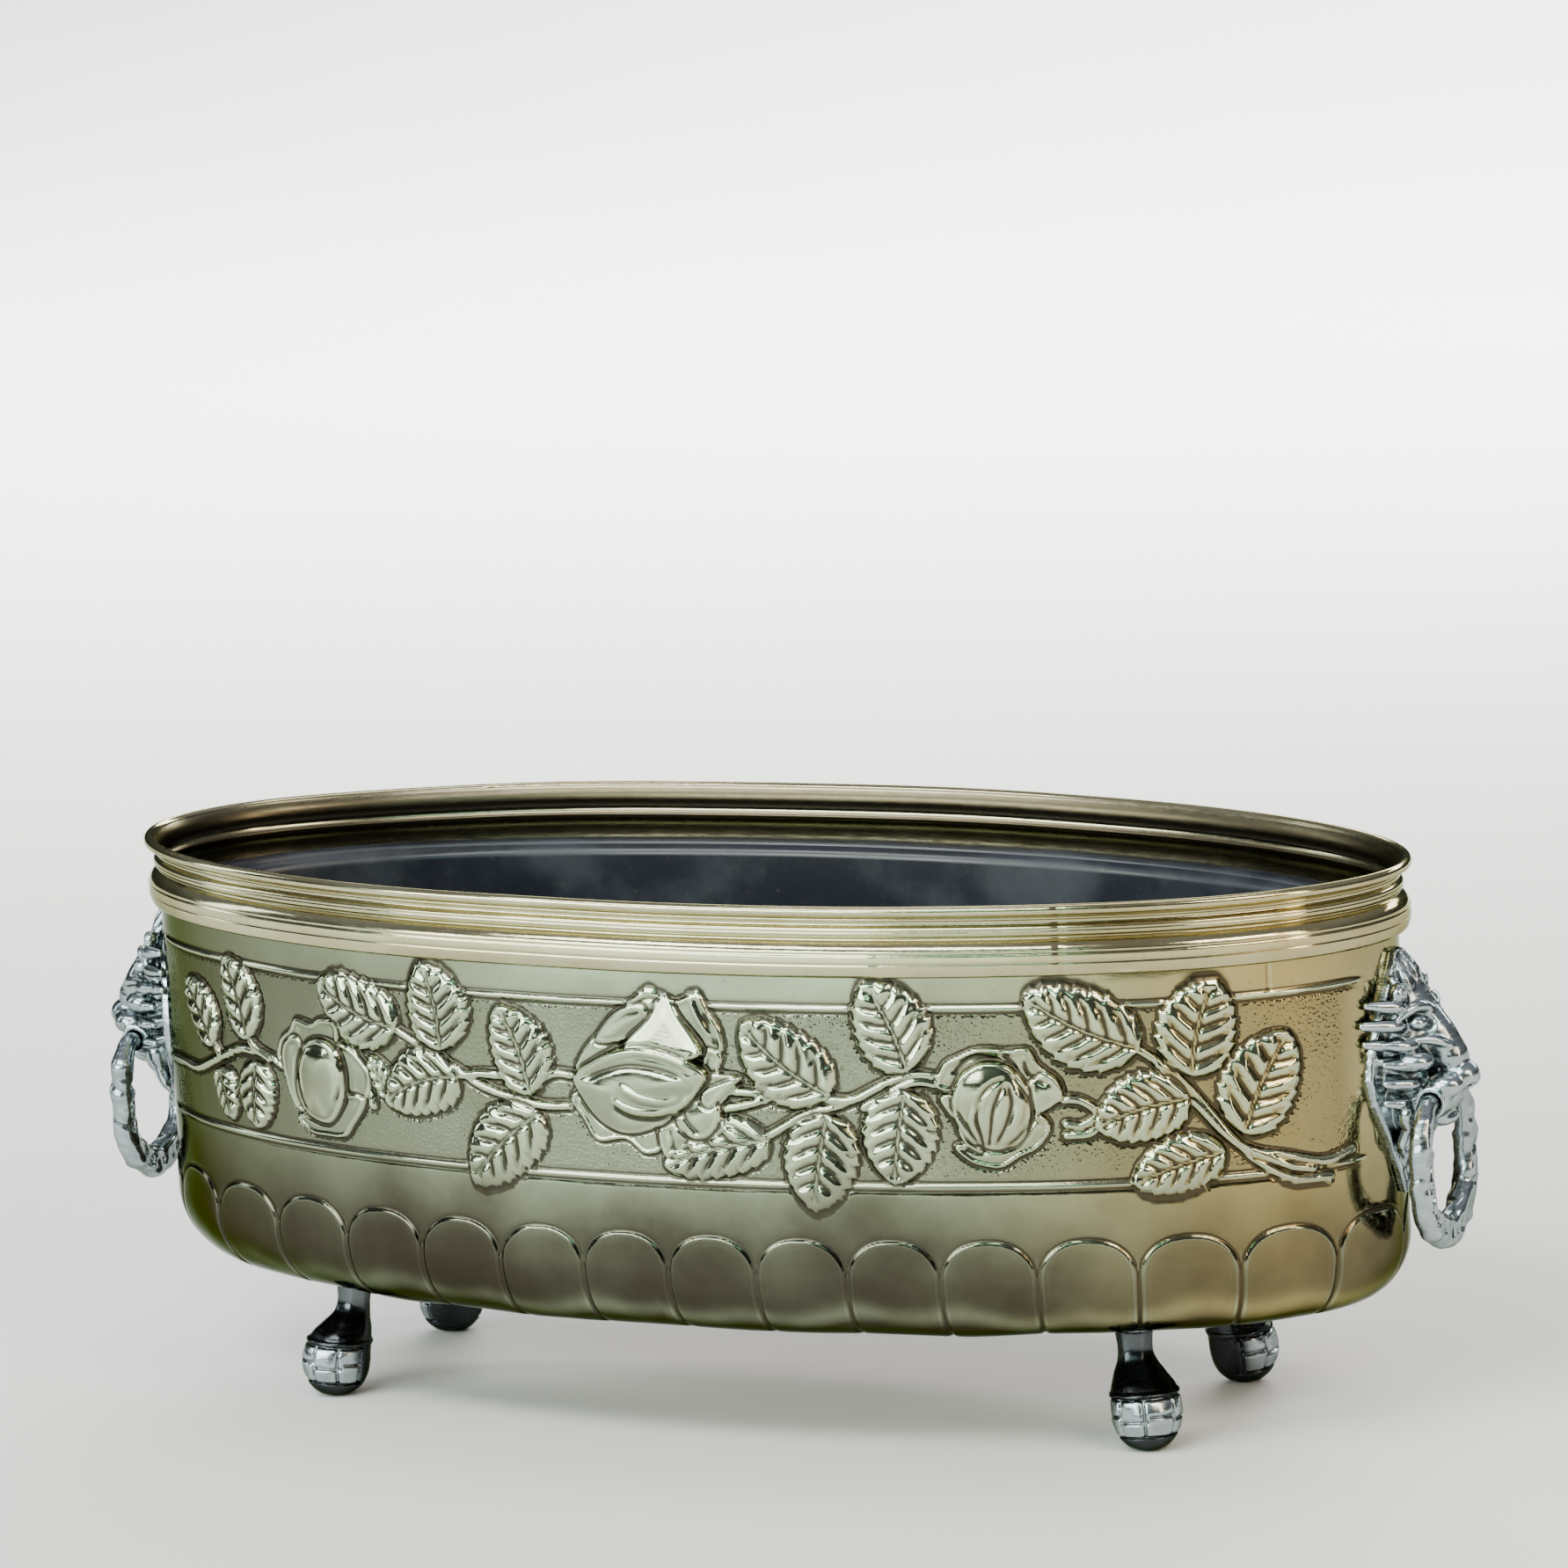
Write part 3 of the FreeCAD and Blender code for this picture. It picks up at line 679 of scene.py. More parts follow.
class Clay:
    """A block of space holding one smooth field: below 0 is metal. Lengths are in millimetres."""

    def __init__(self, low, high):
        axes = [np.arange(a, b + CLAY_STEP, CLAY_STEP) for a, b in zip(low, high)]
        self.low = np.array(low, float)
        self.x, self.y, self.z = np.meshgrid(*axes, indexing="ij")
        self.field = np.full(self.x.shape, 8.0)

    def add(self, shape, blend=1.0):
        mixed = np.clip(0.5 + 0.5 * (self.field - shape) / blend, 0, 1)
        self.field = self.field * (1 - mixed) + shape * mixed - blend * mixed * (1 - mixed)

    def cut(self, shape, blend):
        mixed = np.clip(0.5 - 0.5 * (self.field + shape) / blend, 0, 1)
        self.field = self.field * (1 - mixed) - shape * mixed + blend * mixed * (1 - mixed)

    def ball(self, centre, radii):
        offsets = [p - c for p, c in zip((self.x, self.y, self.z), centre)]
        near = np.sqrt(sum((d / r) ** 2 for d, r in zip(offsets, radii)))
        slope = np.sqrt(sum((d / r ** 2) ** 2 for d, r in zip(offsets, radii)))
        return near * (near - 1) / (slope + 1e-6)

    def rod(self, start, end, start_radius, end_radius):
        start = np.array(start, float)
        run = np.array(end, float) - start
        offsets = (self.x - start[0], self.y - start[1], self.z - start[2])
        t = np.clip(sum(d * r for d, r in zip(offsets, run)) / (run @ run + 1e-9), 0, 1)
        gap = np.sqrt(sum((d - t * r) ** 2 for d, r in zip(offsets, run)))
        return gap - start_radius - t * (end_radius - start_radius)

    def limb(self, points, radii, steps=3):
        """A rounded line through points, with a radius at each."""
        path = smooth_path([(*point, radius) for point, radius in zip(points, radii)], steps)
        shape = np.full(self.x.shape, 50.0)
        for a, b in zip(path, path[1:]):
            shape = np.minimum(shape, self.rod(a[:3], b[:3], a[3], b[3]))
        return shape

    def mesh(self):
        """Vertices, faces and hollowness (negative in recesses) of the surface."""
        field = self.field
        inside = field < 0
        cells = tuple(n - 1 for n in field.shape)
        count = np.zeros(cells)
        total = np.zeros(cells + (3,))
        for axis in range(3):
            others = [k for k in range(3) if k != axis]
            first = np.take(field, range(cells[axis]), axis)
            second = np.take(field, range(1, cells[axis] + 1), axis)
            crosses = (first < 0) != (second < 0)
            t = np.where(crosses, first / np.where(crosses, first - second, 1), 0)
            for shift in ((0, 0), (0, 1), (1, 0), (1, 1)):
                part = [slice(None)] * 3
                for other, by in zip(others, shift):
                    part[other] = slice(by, by + cells[other])
                hit = crosses[tuple(part)]
                count += hit
                total[..., axis] += t[tuple(part)]
                for other, by in zip(others, shift):
                    total[..., other] += hit * by
        used = count > 0
        number = np.full(cells, -1)
        number[used] = np.arange(used.sum())
        corner = np.argwhere(used)
        vertices = self.low + CLAY_STEP * (corner + total[used] / count[used][:, None])
        faces = []
        for axis in range(3):
            u, v = (axis + 1) % 3, (axis + 2) % 3
            part = [slice(1, -1)] * 3
            part[axis] = slice(None, -1)
            ahead = [slice(1, -1)] * 3
            ahead[axis] = slice(1, None)
            starts = inside[tuple(part)]
            ends = inside[tuple(ahead)]
            for flip, here in ((False, starts & ~ends), (True, ends & ~starts)):
                cell = np.argwhere(here) + 1
                cell[:, axis] -= 1
                ring = []
                for du, dv in ((-1, -1), (0, -1), (0, 0), (-1, 0)):
                    spot = cell.copy()
                    spot[:, u] += du
                    spot[:, v] += dv
                    ring.append(number[tuple(spot.T)])
                quad = np.stack(ring, -1)
                faces.append(quad[:, ::-1] if flip else quad)
        hollow = (blurred_block(field, 3) - field)[:-1, :-1, :-1][used] / CLAY_STEP
        return vertices, np.concatenate(faces), hollow


def roughcast(clay, seed, size, wave):
    """Small uneven waves of a sand casting."""
    chance = np.random.default_rng(seed)
    total = 0
    for _ in range(12):
        way = chance.normal(0, 1, 3)
        way *= TWO_PI / (wave * chance.uniform(0.6, 1.6) * np.linalg.norm(way))
        phase = clay.x * way[0] + clay.y * way[1] + clay.z * way[2]
        total = total + np.sin(phase + chance.uniform(0, TWO_PI))
    clay.field += size * total / 3.5


def wall_behind(y):
    """How far the end of the wall falls back at y to the side of its middle."""
    return WALL_A * (np.sqrt(np.clip(1 - (y / WALL_B) ** 2, 0, 1)) - 1)


# Half width of the mask's plate at each height
MASK_OUTLINE = ((158, 3.5), (152, 7), (145, 10.5), (138, 14), (128, 17.5), (119, 19), (110, 17), (104, 14),
                (97, 10.5), (88, 6), (79, 1.5))


def lock(clay, points, radii, blend=0.35):
    """A lock of the mane; the x of its points is measured from the wall behind them."""
    clay.add(clay.limb([(x + wall_behind(y), y, z) for x, y, z in points], radii), blend)


def model_mask():
    """Lion's head: x is out of the wall, y across, z up. One side is modelled and mirrored."""
    clay = Clay((-8, -24, 76), (31, 24, 161))
    real_y = clay.y
    clay.y = np.abs(real_y)
    out = clay.x - wall_behind(real_y)
    heights, halves = zip(*MASK_OUTLINE[::-1])
    half = np.interp(clay.z, heights, halves)
    clay.add(shared(np.abs(out - 1.3) - 1.5, (clay.y - half) * 0.85, clay.z - 158.5, 78.5 - clay.z), 0.5)
    clay.add(clay.ball((3.5, 0, 126), (10.5, 12.5, 25)), 3)
    ridge = [(3.2, 0, 152), (5.6, 0, 145), (9.4, 0, 138), (14.2, 0, 131.5), (19.0, 0, 124.5)]
    clay.add(clay.limb(ridge, [4.2, 4.8, 5.7, 6.1, 5.6]), 3)
    clay.add(clay.ball((22.6, 0, 118.2), (5.6, 5.6, 4.8)), 1.8)
    clay.add(clay.ball((18.5, 5.2, 115.8), (6.0, 4.6, 4.2)), 1.4)
    clay.add(clay.ball((10.0, 10.5, 124.5), (6.6, 5.4, 3.8)), 1.0)
    clay.cut(clay.ball((25.5, 2.1, 115.6), (2.2, 1.0, 0.8)), 0.5)
    clay.cut(clay.limb([(24, 8.0, 121), (19, 9.5, 119.5), (14, 11.5, 117.5)], [0.5, 0.7, 0.7]), 0.6)
    # jaws round the ring's bar, with the mouth open in front of it
    clay.add(clay.rod((14.6, 0, 110.6), (14.6, 10.4, 110.6), 6.0, 5.2), 1.5)
    clay.add(clay.ball((13.5, 0, 104.2), (6.8, 6.5, 3.2)), 1.6)
    clay.add(clay.ball((7, 0, 106), (7, 13, 9)), 2)
    # brows, eyes and the fold under each eye
    clay.cut(clay.ball((13.4, 8.6, 136.2), (4.0, 4.4, 2.9)), 1.2)
    clay.add(clay.ball((10.8, 8.4, 136.4), (3.1, 2.9, 2.5)), 0.4)
    clay.add(clay.limb([(13.2, 2.4, 139.4), (11.8, 6.0, 141.4), (9.4, 10.2, 141.2), (6.5, 13.4, 138.4)],
                       [1.5, 1.8, 1.8, 1.1]), 0.8)
    clay.add(clay.limb([(20.5, 4.2, 128.5), (16.0, 7.2, 130.6), (10.5, 11.0, 131.2)], [0.9, 1.6, 1.2]), 0.6)
    clay.cut(clay.limb([(20.0, 5.6, 125.6), (15.5, 9.0, 127.6), (9.5, 12.6, 128.2)], [0.4, 0.8, 0.6]), 0.5)
    # ears
    clay.add(clay.ball((5.6, 10.5, 146.0), (2.8, 3.2, 3.4)), 0.8)
    clay.cut(clay.ball((8.0, 10.8, 145.8), (1.6, 1.6, 1.9)), 0.6)
    # mane: locks in two layers, nearly level, their outer ends lying on the wall
    for row in range(6):
        z = 142.5 - 6.2 * row
        reach = min(16.5 + 5.0 * math.sin(0.9 * row + 0.5), 21.0)
        lock(clay, [(7.2, 9.5, z - 0.8), (7.4, 13, z - 0.3), (4.8, 0.5 * (13 + reach), z + 0.3),
                    (2.0, reach, z + 0.9)], [2.1, 2.3, 2.1, 1.3])
    for row in range(4):
        z = 129.5 - 6.3 * row
        lock(clay, [(11.0, 9.0, z - 0.4), (11.6, 12.2, z), (9.4, 15.4, z + 0.6), (6.4, 17.6, z + 1.0)],
             [1.9, 2.1, 1.9, 1.2], 0.3)
    # tufts over the brow
    for start, tip, size in (((7.6, 0, 144), (3.6, 0, 157.4), 2.8),
                             ((7.0, 4.0, 143.5), (2.8, 4.2, 154.5), 2.4),
                             ((6.0, 8.0, 143), (2.4, 8.2, 150), 2.0)):
        middle = [0.5 * (a + b) + lift for a, b, lift in zip(start, tip, (1.0, 0.3, 0.6))]
        clay.add(clay.limb([start, middle, tip], [size, 0.9 * size, 1.2]), 0.4)
    # beard: three locks over a narrow plate
    for side, low, size in ((0, 80.5, 3.4), (4.6, 86, 2.7), (8.6, 92, 2.3)):
        beard = [(10.5 - 0.4 * side, side, 103), (7.5 - 0.3 * side, side, 97),
                 (3.6, 0.85 * side, 0.5 * (97 + low)), (1.2, 0.6 * side, low)]
        clay.add(clay.limb(beard, [size, size, 0.8 * size, 0.8]), 0.4)
    strands = np.sin(2.4 * clay.y + 0.5 * clay.z) * smooth_step(100, 97, clay.z)
    strands = strands + np.sin(2.6 * clay.y) * smooth_step(146, 150, clay.z)
    clay.field += 0.16 * strands * smooth_step(2.5, 4.5, out)
    clay.y = real_y
    roughcast(clay, 31, 0.07, 8)
    bore = np.hypot(clay.x - HINGE_OUT, clay.z - HINGE_Z)
    clay.cut(bore - RING_BORE, 0.3)
    clay.cut(np.maximum(bore - RING_SWEEP, JAW_HALF - np.abs(clay.y)), 0.3)
    clay.field = np.maximum(clay.field, -(out + 0.05))
    return clay.mesh()


# Middle line of half a ring, from the bar down to the bottom: y, z and radius
RING_LINE = ((-9, HINGE_Z, 3.0), (-14.5, HINGE_Z - 0.3, 3.1), (-18.4, HINGE_Z - 5.0, 3.6), (-20.0, 101, 3.9),
             (-20.4, 90, 4.0), (-19.4, 79, 4.3), (-11.5, 70.4, 4.8), (0, 66.0, 5.2))

# Swellings along the ring: y, z and radius
RING_KNOBS = ((-20, 97, 4.4), (20.2, 94, 4.1), (-20.0, 83, 4.6), (19.8, 82, 4.5), (-13.0, 71.5, 5.2),
              (13.6, 71.6, 5.2), (3.5, 66.2, 5.4), (-5.0, 67.2, 5.3), (20.4, 103, 4.0))


def model_ring():
    """Drop ring hanging from its bar: x is out of the wall from the bar's axis, y across, z up."""
    clay = Clay((-8, -30, 56), (8, 30, 116))
    real_y = clay.y
    clay.y = -np.abs(real_y)
    clay.add(clay.limb([(0, y, z) for y, z, _ in RING_LINE], [radius for _, _, radius in RING_LINE], 4), 0.5)
    clay.y = real_y
    for y, z, size in RING_KNOBS:
        clay.add(clay.ball((0, y, z), (0.95 * size, 0.95 * size, size)), 1.2)
    clay.cut(3.85 - np.abs(clay.x), 0.8)
    away = smooth_step(14, 18, np.hypot(clay.y * 0.95, clay.z - HINGE_Z))
    before = clay.field.copy()
    roughcast(clay, 41, 0.26, 7)
    chance = np.random.default_rng(43)
    for _ in range(60):
        turn = chance.uniform(-1.25, 4.4)
        face = chance.choice((-1, 1)) * chance.uniform(2.5, 5)
        centre = (face, 20.5 * math.cos(turn), 88 - 22 * math.sin(turn))
        size = chance.uniform(0.8, 1.9)
        clay.cut(clay.ball(centre, (size, size, size)), 0.8)
    clay.field = before * (1 - away) + clay.field * away
    clay.add(clay.rod((0, -14, HINGE_Z), (0, 14, HINGE_Z), BAR_RADIUS, BAR_RADIUS), 0.3)
    return clay.mesh()


# Foot from the pad down: height, radius, and how far its middle is from the stud's line
FOOT_PROFILE = (
    (41.5, 10.0, 0.0), (40.2, 7.6, 0.0), (38.5, 6.3, 0.0), (34.0, 5.7, 0.3), (30.5, 5.7, 0.9),
    (27.5, 6.6, 2.0), (24.5, 8.4, 3.9), (21.5, 10.1, 5.6), (18.0, 11.2, 7.0), (14.0, 11.6, 7.9),
    (10.5, 11.5, 8.2), (7.0, 10.7, 8.2), (4.0, 9.2, 8.2), (1.8, 7.1, 8.2), (0.5, 4.8, 8.2), (-0.4, 0.5, 8.2),
)
TOE_GROOVES = (-116, -73, -27, 27, 73, 116)


def model_foot():
    """Paw foot: x points away from the pot's middle, z is up; the stud's line is x = y = 0."""
    clay = Clay((-17, -17, -1), (24, 17, BASE_Z + 1))
    around = np.arctan2(clay.y, clay.x)
    out = np.hypot(clay.x, clay.y)
    edge = 11.6 + 2.0 * np.abs(np.cos(2.5 * around)) ** 0.6
    low = BASE_Z - 1.1 - 1.8 * smooth_step(14, 4, out)
    clay.add(shared(low - clay.z, clay.z - BASE_Z, (out - edge) * 0.8), 0.4)
    veins = np.abs(np.sin(5 * around)) * out / 5
    clay.cut(shared(veins - 0.25, clay.z - low - 0.45), 0.4)
    heights, radii, middles = smooth_path(FOOT_PROFILE[::-1], 6).T
    radius = np.interp(clay.z, heights, radii)
    ahead = clay.x - np.interp(clay.z, heights, middles)
    turn = np.arctan2(clay.y, ahead)
    facets = 0.45 * (np.abs(np.sin(3 * turn)) - 0.5) * smooth_step(19, 24, clay.z)
    steep = np.hypot(1, np.gradient(radii, heights))
    drop = (np.hypot(ahead, clay.y) - radius + facets) / np.interp(clay.z, heights, steep)
    clay.add(drop, 1.0)
    # collar over the toes, the toes parted by grooves, and a smooth sole
    level = clay.z - 0.10 * clay.x
    clay.add(shared(drop - 0.5, np.abs(level - 18.0) - 0.6), 0.5)
    core = drop + 1.1
    for degrees in TOE_GROOVES:
        way = math.radians(degrees)
        slab = np.abs(ahead * math.sin(way) - clay.y * math.cos(way)) - 0.3
        behind = 0.5 - ahead * math.cos(way) - clay.y * math.sin(way)
        clay.cut(shared(slab, behind, -core, 4.6 - level, level - 17.0), 0.9)
    step = 0.8 * np.sign(np.sin(3.5 * turn + 1.2))
    clay.cut(shared(np.abs(level - 10.4 - step) - 0.3, -core, -ahead - 5), 0.9)
    for groove in (4.4, 16.8):
        clay.cut(shared(np.abs(level - groove) - 0.3, -core, -ahead - 6), 0.7)
    roughcast(clay, 51, 0.07, 7)
    clay.field = shared(clay.field, -clay.z, clay.z - BASE_Z)
    return clay.mesh()


def place_casting(name, vertices, faces, shades, material, body, replaced, degrees, x, y):
    """A copy of a casting, turned about Z and then moved."""
    turn = math.radians(degrees)
    across = vertices[:, 0] * math.cos(turn) - vertices[:, 1] * math.sin(turn)
    along = vertices[:, 0] * math.sin(turn) + vertices[:, 1] * math.cos(turn)
    placed = np.stack([across + x, along + y, vertices[:, 2]], -1)
    piece = make_piece(name, placed, [faces], material, body, shades)
    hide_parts(replaced)


def build_castings(material):
    sides = (("right", 0, 1), ("left", 180, -1))
    vertices, faces, hollow = model_mask()
    shades = {"cavity": HOLLOW_SHADE * hollow}
    for side, degrees, sign in sides:
        place_casting("lion_" + side, vertices, faces, shades, material, "pot", "lion_mask_" + side,
                      degrees, sign * WALL_A, 0)
    vertices, faces, hollow = model_ring()
    shades = {"cavity": HOLLOW_SHADE * hollow}
    for side, degrees, sign in sides:
        place_casting("ring_" + side + "_cast", vertices, faces, shades, material, "ring_" + side,
                      "ring_handle_" + side, degrees, sign * (WALL_A + HINGE_OUT), 0)
    vertices, faces, hollow = model_foot()
    # Paws: darkened all over, less high on the leg, as a painted dark reflection and painted shade; the toe
    # panels are left bright as a painted highlight.
    level = vertices[:, 2] - 0.10 * vertices[:, 0]
    wear_and_painted_highlight = smooth_step(17.2, 16.0, level) * smooth_step(4.2, 5.4, level) * smooth_step(1, 8, vertices[:, 0])
    tarnish_and_painted_shade = 0.95 - 0.95 * wear_and_painted_highlight - 0.3 * smooth_step(26, 34, level)
    shades = {"cavity": HOLLOW_SHADE * hollow, "tarnish_and_painted_shade": tarnish_and_painted_shade}
    for front, y_sign in (("front", -1), ("back", 1)):
        for side, x_sign in (("left", -1), ("right", 1)):
            name = front + "_" + side
            degrees = math.degrees(math.atan2(y_sign, x_sign))
            place_casting("paw_" + name, vertices, faces, shades, material, "pot", "foot_" + name,
                          degrees, x_sign * FOOT_X, y_sign * FOOT_Y)


# ---------------- the liner

# Profile up the tray's outside and down its inside: distance in from the wall oval, height over its bottom
LINER_OUTSIDE = (
    (16.0, 0.0), (13.9, 0.6), (13.1, 2.4), (12.8, 6.0), (10.6, 56.0), (8.0, 113.0), (7.7, 116.4),
    (7.0, 117.2), (4.9, 117.2), (4.3, 116.8), (4.1, 116.0), (4.1, 114.6), (3.3, 114.0), (2.5, 114.6),
    (2.4, 117.0), (2.7, 118.4), (3.6, 119.0),
)
LINER_INSIDE = (
    (8.2, 119.0), (9.2, 118.6), (9.7, 117.6), (9.8, 115.0), (10.3, 113.4), (12.3, 56.0), (14.6, 7.0),
    (15.2, 3.6), (17.2, 1.9), (20.0, 1.6),
)
LINER_HEIGHT = 119.0


def build_liner(material):
    low, high = mm_box("liner")
    profile = np.concatenate([smooth_path(LINER_OUTSIDE, 3), smooth_path(LINER_INSIDE, 4)])
    columns = 520
    s, rise, point, normal = oval_grid(columns, profile[:, 1])
    inset = profile[:, :1] + ripples(s, 2 * rise, 61, 0.18, 40, 160) * smooth_step(2, 14, rise)
    stretch = (high[2] - low[2]) / LINER_HEIGHT
    tray = stand_off(point, normal, -inset, low[2] + stretch * rise)
    rows = len(profile)
    side = grid_faces(rows, columns)[:, ::-1]
    under = np.arange(columns)[None, ::-1]
    floor = ((rows - 1) * columns + np.arange(columns))[None]
    liner = make_piece("tray", tray.reshape(-1, 3), [side, under, floor], material, "liner")
    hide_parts("liner")


# ---------------- materials

class Nodes:
    """Short ways to add and join shader nodes."""

    def __init__(self, tree):
        self.tree = tree
        tree.nodes.clear()

    def feed(self, sockets, entries):
        """Join each socket to a node's output, or set it to a plain value."""
        for socket, entry in zip(sockets, entries):
            if isinstance(entry, bpy.types.NodeSocket):
                self.tree.links.new(entry, socket)
            else:
                socket.default_value = entry

    def add(self, kind, settings=None, **inputs):
        node = self.tree.nodes.new(kind)
        for key, value in (settings or {}).items():
            setattr(node, key, value)
        self.feed([node.inputs[key.replace("_", " ")] for key in inputs], inputs.values())
        return node

    def value(self, operation, first, second):
        node = self.add("ShaderNodeMath", {"operation": operation})
        self.feed(node.inputs, (first, second))
        return node.outputs[0]

    def plus(self, first, second):
        return self.value("ADD", first, second)

    def times(self, first, second):
        return self.value("MULTIPLY", first, second)

    def larger(self, first, second):
        return self.value("MAXIMUM", first, second)

    def spread(self, value, low, high, to_low=0.0, to_high=1.0):
        """A value's range, eased onto another range."""
        node = self.add("ShaderNodeMapRange", {"interpolation_type": "SMOOTHSTEP"}, Value=value)
        for key, number in (("From Min", low), ("From Max", high), ("To Min", to_low), ("To Max", to_high)):
            node.inputs[key].default_value = number
        return node.outputs["Result"]

    def mix(self, amount, first, second):
        node = self.add("ShaderNodeMix", {"data_type": "RGBA"})
        self.feed((node.inputs[0], node.inputs[6], node.inputs[7]), (amount, first, second))
        return node.outputs[2]

    def noise(self, place, scale, detail=4.0, roughness=0.55):
        node = self.add("ShaderNodeTexNoise", Vector=place, Scale=scale, Detail=detail, Roughness=roughness)
        return node.outputs["Fac"]

    def attribute(self, name):
        return self.add("ShaderNodeAttribute", {"attribute_name": name}).outputs["Fac"]

    def place(self):
        return self.add("ShaderNodeTexCoord").outputs["Object"]

    def bump(self, distance, height):
        return self.add("ShaderNodeBump", Strength=1.0, Distance=distance, Height=height).outputs["Normal"]

    def surface(self, **inputs):
        shader = self.add("ShaderNodeBsdfPrincipled", **inputs)
        self.add("ShaderNodeOutputMaterial", Surface=shader.outputs["BSDF"])


def new_material(name):
    material = bpy.data.materials.new(name)
    material.use_nodes = True
    return material, Nodes(material.node_tree)


# Golden: a tint round the rim and a painted reflection at the right end of the wall; dark green: a painted
# reflection at its left end.
GOLD_TINT_AND_REFLECTION = (0.33, 0.25, 0.09, 1)
DARK_REFLECTION_BRASS = (0.085, 0.090, 0.055, 1)
EDGE_TINT = (0.42, 0.46, 0.38, 1)


def metal(name, clean, worn, tarnish_and_shade_colour, roughness, patchy=0.35, grain=0.04):
    """Aged metal: a clean and a worn colour in patches; tarnish and painted shade in the recesses; wear and
    painted highlight on the crests; painted reflections and painted shade from the mesh's shades; fine
    rubbing marks.
    """
    material, nodes = new_material(name)
    place = nodes.place()
    cloud = nodes.noise(place, 22.0, 5.0)
    specks = nodes.noise(place, 420.0, 3.0, 0.7)
    smear_place = nodes.add("ShaderNodeMapping", Vector=place, Scale=(60.0, 60.0, 420.0)).outputs["Vector"]
    smear = nodes.noise(smear_place, 3.0, 4.0, 0.6)
    patches = nodes.spread(cloud, 0.42, 0.68, 0.0, patchy)
    aged = nodes.mix(patches, clean, worn)
    aged = nodes.mix(nodes.attribute("gold_tint_and_reflection"), aged, GOLD_TINT_AND_REFLECTION)
    aged = nodes.mix(nodes.attribute("painted_dark_reflection"), aged, DARK_REFLECTION_BRASS)
    hollow = nodes.attribute("cavity")
    # Crests are lightened towards a brighter colour: wear and painted highlight.
    wear_and_painted_highlight = [min(1.0, 1.5 * part) for part in clean[:3]] + [1.0]
    colour = nodes.mix(nodes.spread(hollow, 0.04, 0.35, 0.0, 0.8), aged, wear_and_painted_highlight)
    # Recesses are darkened towards the dark colour: tarnish and painted shade.
    hollow_tarnish_and_painted_shade = nodes.spread(nodes.plus(hollow, nodes.times(cloud, 0.12)), -0.04, -0.42, 0.0, 0.88)
    # Darkening read from the mesh: tarnish with painted shade and painted reflections on the lower wall and
    # the paws; punched ground is darker too.
    tarnish_and_painted_shade = nodes.plus(nodes.attribute("tarnish_and_painted_shade"), nodes.times(cloud, 0.5))
    punched = nodes.attribute("punched")
    shade_tarnish_and_matting = nodes.larger(nodes.spread(tarnish_and_painted_shade, 0.32, 1.2, 0.0, 0.94), nodes.times(punched, 0.62))
    dirt_tarnish_and_painted_shade = nodes.larger(nodes.spread(specks, 0.62, 0.74, 0.0, 0.3), nodes.larger(hollow_tarnish_and_painted_shade, shade_tarnish_and_matting))
    colour = nodes.mix(dirt_tarnish_and_painted_shade, colour, tarnish_and_shade_colour)
    streaks = nodes.spread(smear, 0.35, 0.7, roughness * 0.75, roughness * 1.5)
    rough = nodes.plus(streaks, nodes.times(hollow_tarnish_and_painted_shade, 0.25))
    punch = nodes.add("ShaderNodeTexVoronoi", Vector=place, Scale=900.0).outputs["Distance"]
    dents = nodes.times(nodes.times(punch, punched), 6.0)
    marks = nodes.plus(nodes.times(specks, 0.4), nodes.times(smear, 0.6))
    bump = nodes.bump(grain * MM, nodes.plus(marks, dents))
    nodes.surface(Base_Color=colour, Metallic=1.0, Roughness=rough, Normal=bump, Specular_Tint=EDGE_TINT)
    return material


def tray_material():
    """Blue-black paint with dust and water marks."""
    material, nodes = new_material("tray_paint")
    place = nodes.place()
    cloud = nodes.noise(place, 30.0, 5.0)
    dust = nodes.spread(nodes.noise(place, 500.0, 3.0, 0.7), 0.60, 0.78, 0.0, 0.25)
    colour = nodes.mix(nodes.spread(cloud, 0.4, 0.7), (0.008, 0.010, 0.016, 1), (0.022, 0.026, 0.036, 1))
    colour = nodes.mix(dust, colour, (0.12, 0.11, 0.09, 1))
    rough = nodes.spread(cloud, 0.35, 0.7, 0.28, 0.5)
    nodes.surface(Base_Color=colour, Roughness=rough, Normal=nodes.bump(0.08 * MM, cloud))
    return material


def floor_material():
    material, nodes = new_material("pale_floor")
    place = nodes.place()
    tone = nodes.mix(nodes.noise(place, 3.0), (0.80, 0.79, 0.77, 1), (0.84, 0.83, 0.81, 1))
    nodes.surface(Base_Color=tone, Roughness=0.7)
    return material


# ---------------- studio

def build_floor():
    mesh = bpy.data.meshes.new("floor")
    half = 14.0
    corners = [(-half, -half, 0), (half, -half, 0), (half, half, 0), (-half, half, 0)]
    mesh.from_pydata(corners, [], [(0, 1, 2, 3)])
    mesh.materials.append(floor_material())
    floor = put_in_scene("floor", mesh)


def area_light(name, place, aim, size, power, colour):
    light = bpy.data.lights.new(name, "AREA")
    light.shape = "RECTANGLE"
    light.size, light.size_y = size
    light.energy = power
    light.color = colour
    lamp = put_in_scene(name, light)
    lamp.location = place
    lamp.rotation_euler = (Vector(aim) - Vector(place)).to_track_quat("-Z", "Y").to_euler()


def build_world():
    """Dim even room, brighter overhead."""
    world = bpy.data.worlds.new("room")
    bpy.context.scene.world = world
    world.use_nodes = True
    nodes = Nodes(world.node_tree)
    direction = nodes.add("ShaderNodeTexCoord").outputs["Generated"]
    height = nodes.add("ShaderNodeSeparateXYZ", Vector=direction).outputs["Z"]
    up = nodes.spread(height, 0.05, 0.85)
    colour = nodes.mix(up, (0.16, 0.18, 0.17, 1), (0.75, 0.80, 0.86, 1))
    background = nodes.add("ShaderNodeBackground", Color=colour, Strength=0.5)
    nodes.add("ShaderNodeOutputWorld", Surface=background.outputs["Background"])


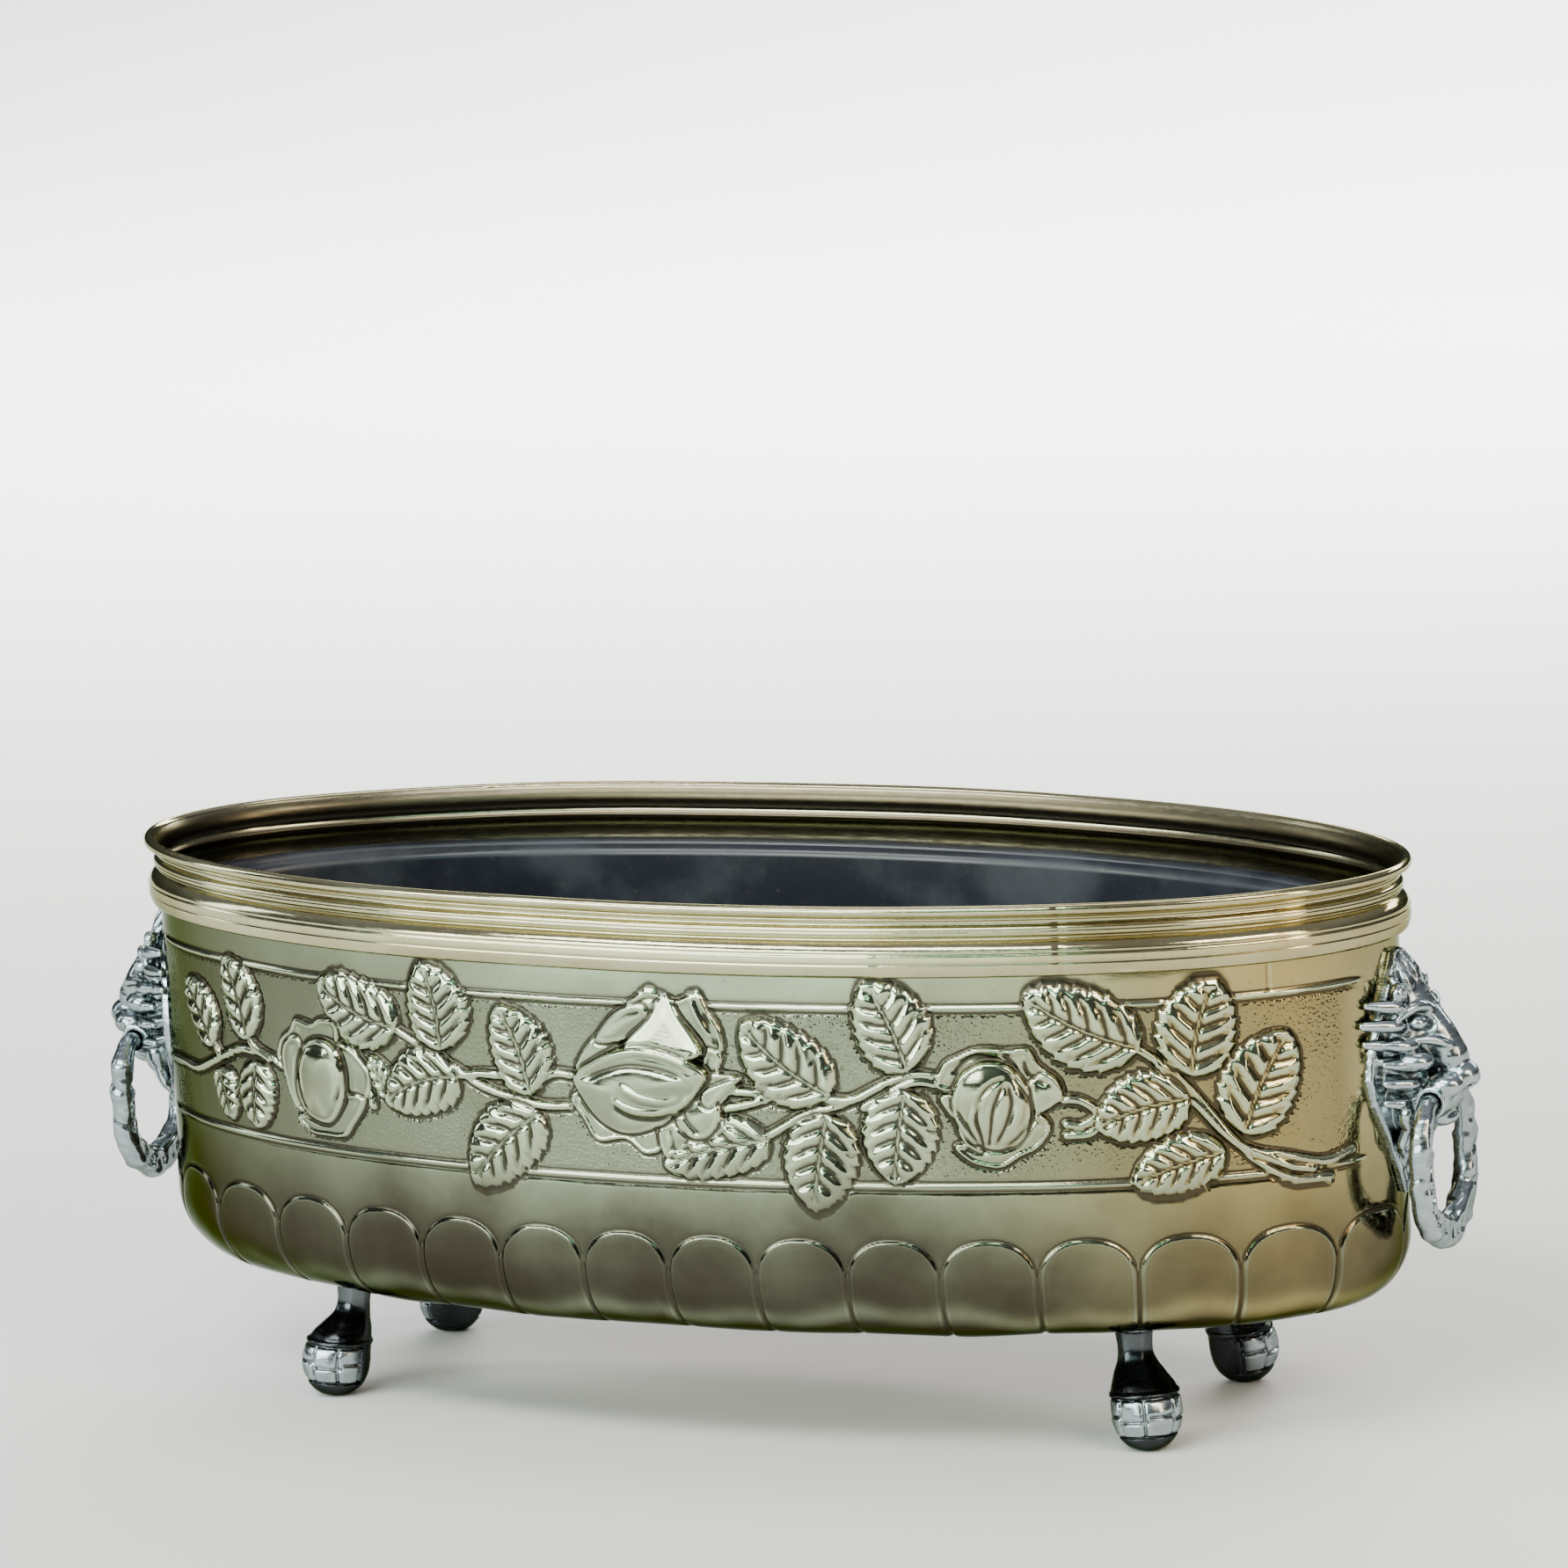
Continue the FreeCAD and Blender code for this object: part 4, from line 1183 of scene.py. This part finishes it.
# Name, place, aim, size, power in watts and colour
LIGHTS = (
    ("back_near", (-0.6, 2.3, 1.6), (-0.9, 3.2, 0), (3.6, 1.4), 300, (1.0, 0.99, 0.97)),
    ("back_far", (0.0, 5.4, 2.6), (0, 5.6, 0), (6.0, 3.0), 700, (1.0, 0.99, 0.97)),
    ("overhead", (0.0, 0.3, 2.4), (0, 0, 0.1), (1.6, 0.5), 12, (1.0, 0.99, 0.97)),
    ("front_high", (-0.5, -1.7, 2.2), (0, 0, 0.12), (2.4, 0.6), 60, (0.98, 1.0, 0.98)),
    ("front_low", (-1.3, -2.6, 1.05), (0, 0, 0.15), (2.6, 1.2), 105, (0.94, 1.0, 0.95)),
    ("front_floor", (-0.6, -1.6, 0.8), (-0.6, -1.7, 0), (2.4, 0.8), 24, (0.42, 1.0, 0.74)),
    ("left", (-2.2, -0.3, 0.9), (0, 0, 0.12), (0.4, 1.2), 9, (0.84, 0.96, 0.98)),
    ("right", (2.1, -0.7, 0.9), (0, 0, 0.12), (0.25, 1.4), 12, (1.0, 0.84, 0.60)),
    ("right_high", (1.7, -1.2, 1.6), (0, 0, 0.15), (0.9, 0.5), 22, (1.0, 0.95, 0.82)),
    ("front_right", (1.3, -0.7, 0.6), (1.3, -0.7, 0), (0.6, 0.6), 4, (1.0, 0.76, 0.42)),
)


# The camera fitted to the photo
AZIMUTH = math.radians(24.57)
ELEVATION = math.radians(10.54)
ROLL = math.radians(2.88)
DISTANCE = 2.7
AIM = (0.0114, -0.0042, 0.2064)
FOCAL_LENGTH = 188.5


def build_camera():
    camera = bpy.data.cameras.new("camera")
    camera.sensor_width = 36
    camera.lens = FOCAL_LENGTH
    camera.clip_end = 60
    level = math.cos(ELEVATION)
    back = Vector((math.sin(AZIMUTH) * level, -math.cos(AZIMUTH) * level, math.sin(ELEVATION)))
    right = Vector((math.cos(AZIMUTH), math.sin(AZIMUTH), 0))
    up = back.cross(right)
    across = right * math.cos(ROLL) - up * math.sin(ROLL)
    upward = right * math.sin(ROLL) + up * math.cos(ROLL)
    seat = Matrix((across, upward, back)).transposed().to_4x4()
    seat.translation = Vector(AIM) + DISTANCE * back
    holder = put_in_scene("camera", camera)
    holder.matrix_world = seat
    bpy.context.scene.camera = holder


# ---------------- everything together

draw_frieze()
sheet_brass = metal("sheet_brass", (0.285, 0.318, 0.22, 1), (0.155, 0.160, 0.105, 1),
                    (0.030, 0.022, 0.017, 1), 0.10, 0.5)
rim_brass = metal("rim_brass", (0.52, 0.49, 0.33, 1), (0.28, 0.24, 0.13, 1),
                  (0.040, 0.028, 0.016, 1), 0.10, 0.5)
# The cast brass is tinted bluish: a painted sky reflection.
cast_brass = metal("cast_brass", (0.33, 0.375, 0.40, 1), (0.15, 0.17, 0.18, 1),
                   (0.016, 0.016, 0.018, 1), 0.20, 0.6, 0.02)
steel = metal("steel", (0.42, 0.42, 0.42, 1), (0.25, 0.22, 0.19, 1), (0.08, 0.06, 0.05, 1), 0.35)
inner_brass = metal("inner_brass", (0.30, 0.24, 0.14, 1), (0.17, 0.12, 0.07, 1), (0.05, 0.035, 0.02, 1), 0.35)
tray_paint = tray_material()
build_wall(sheet_brass)
build_rim(rim_brass)
build_castings(cast_brass)
build_liner(tray_paint)
for node, material in (("base_plate", inner_brass), ("rim_wire", steel), ("mask_washers", steel),
                       ("mask_nuts", steel), ("foot_washers", steel), ("foot_nuts", steel)):
    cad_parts[node].data.materials.clear()
    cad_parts[node].data.materials.append(material)
build_floor()
build_world()
for light in LIGHTS:
    area_light(*light)
build_camera()


def plain(bounds):
    return [list(corner) for corner in bounds]
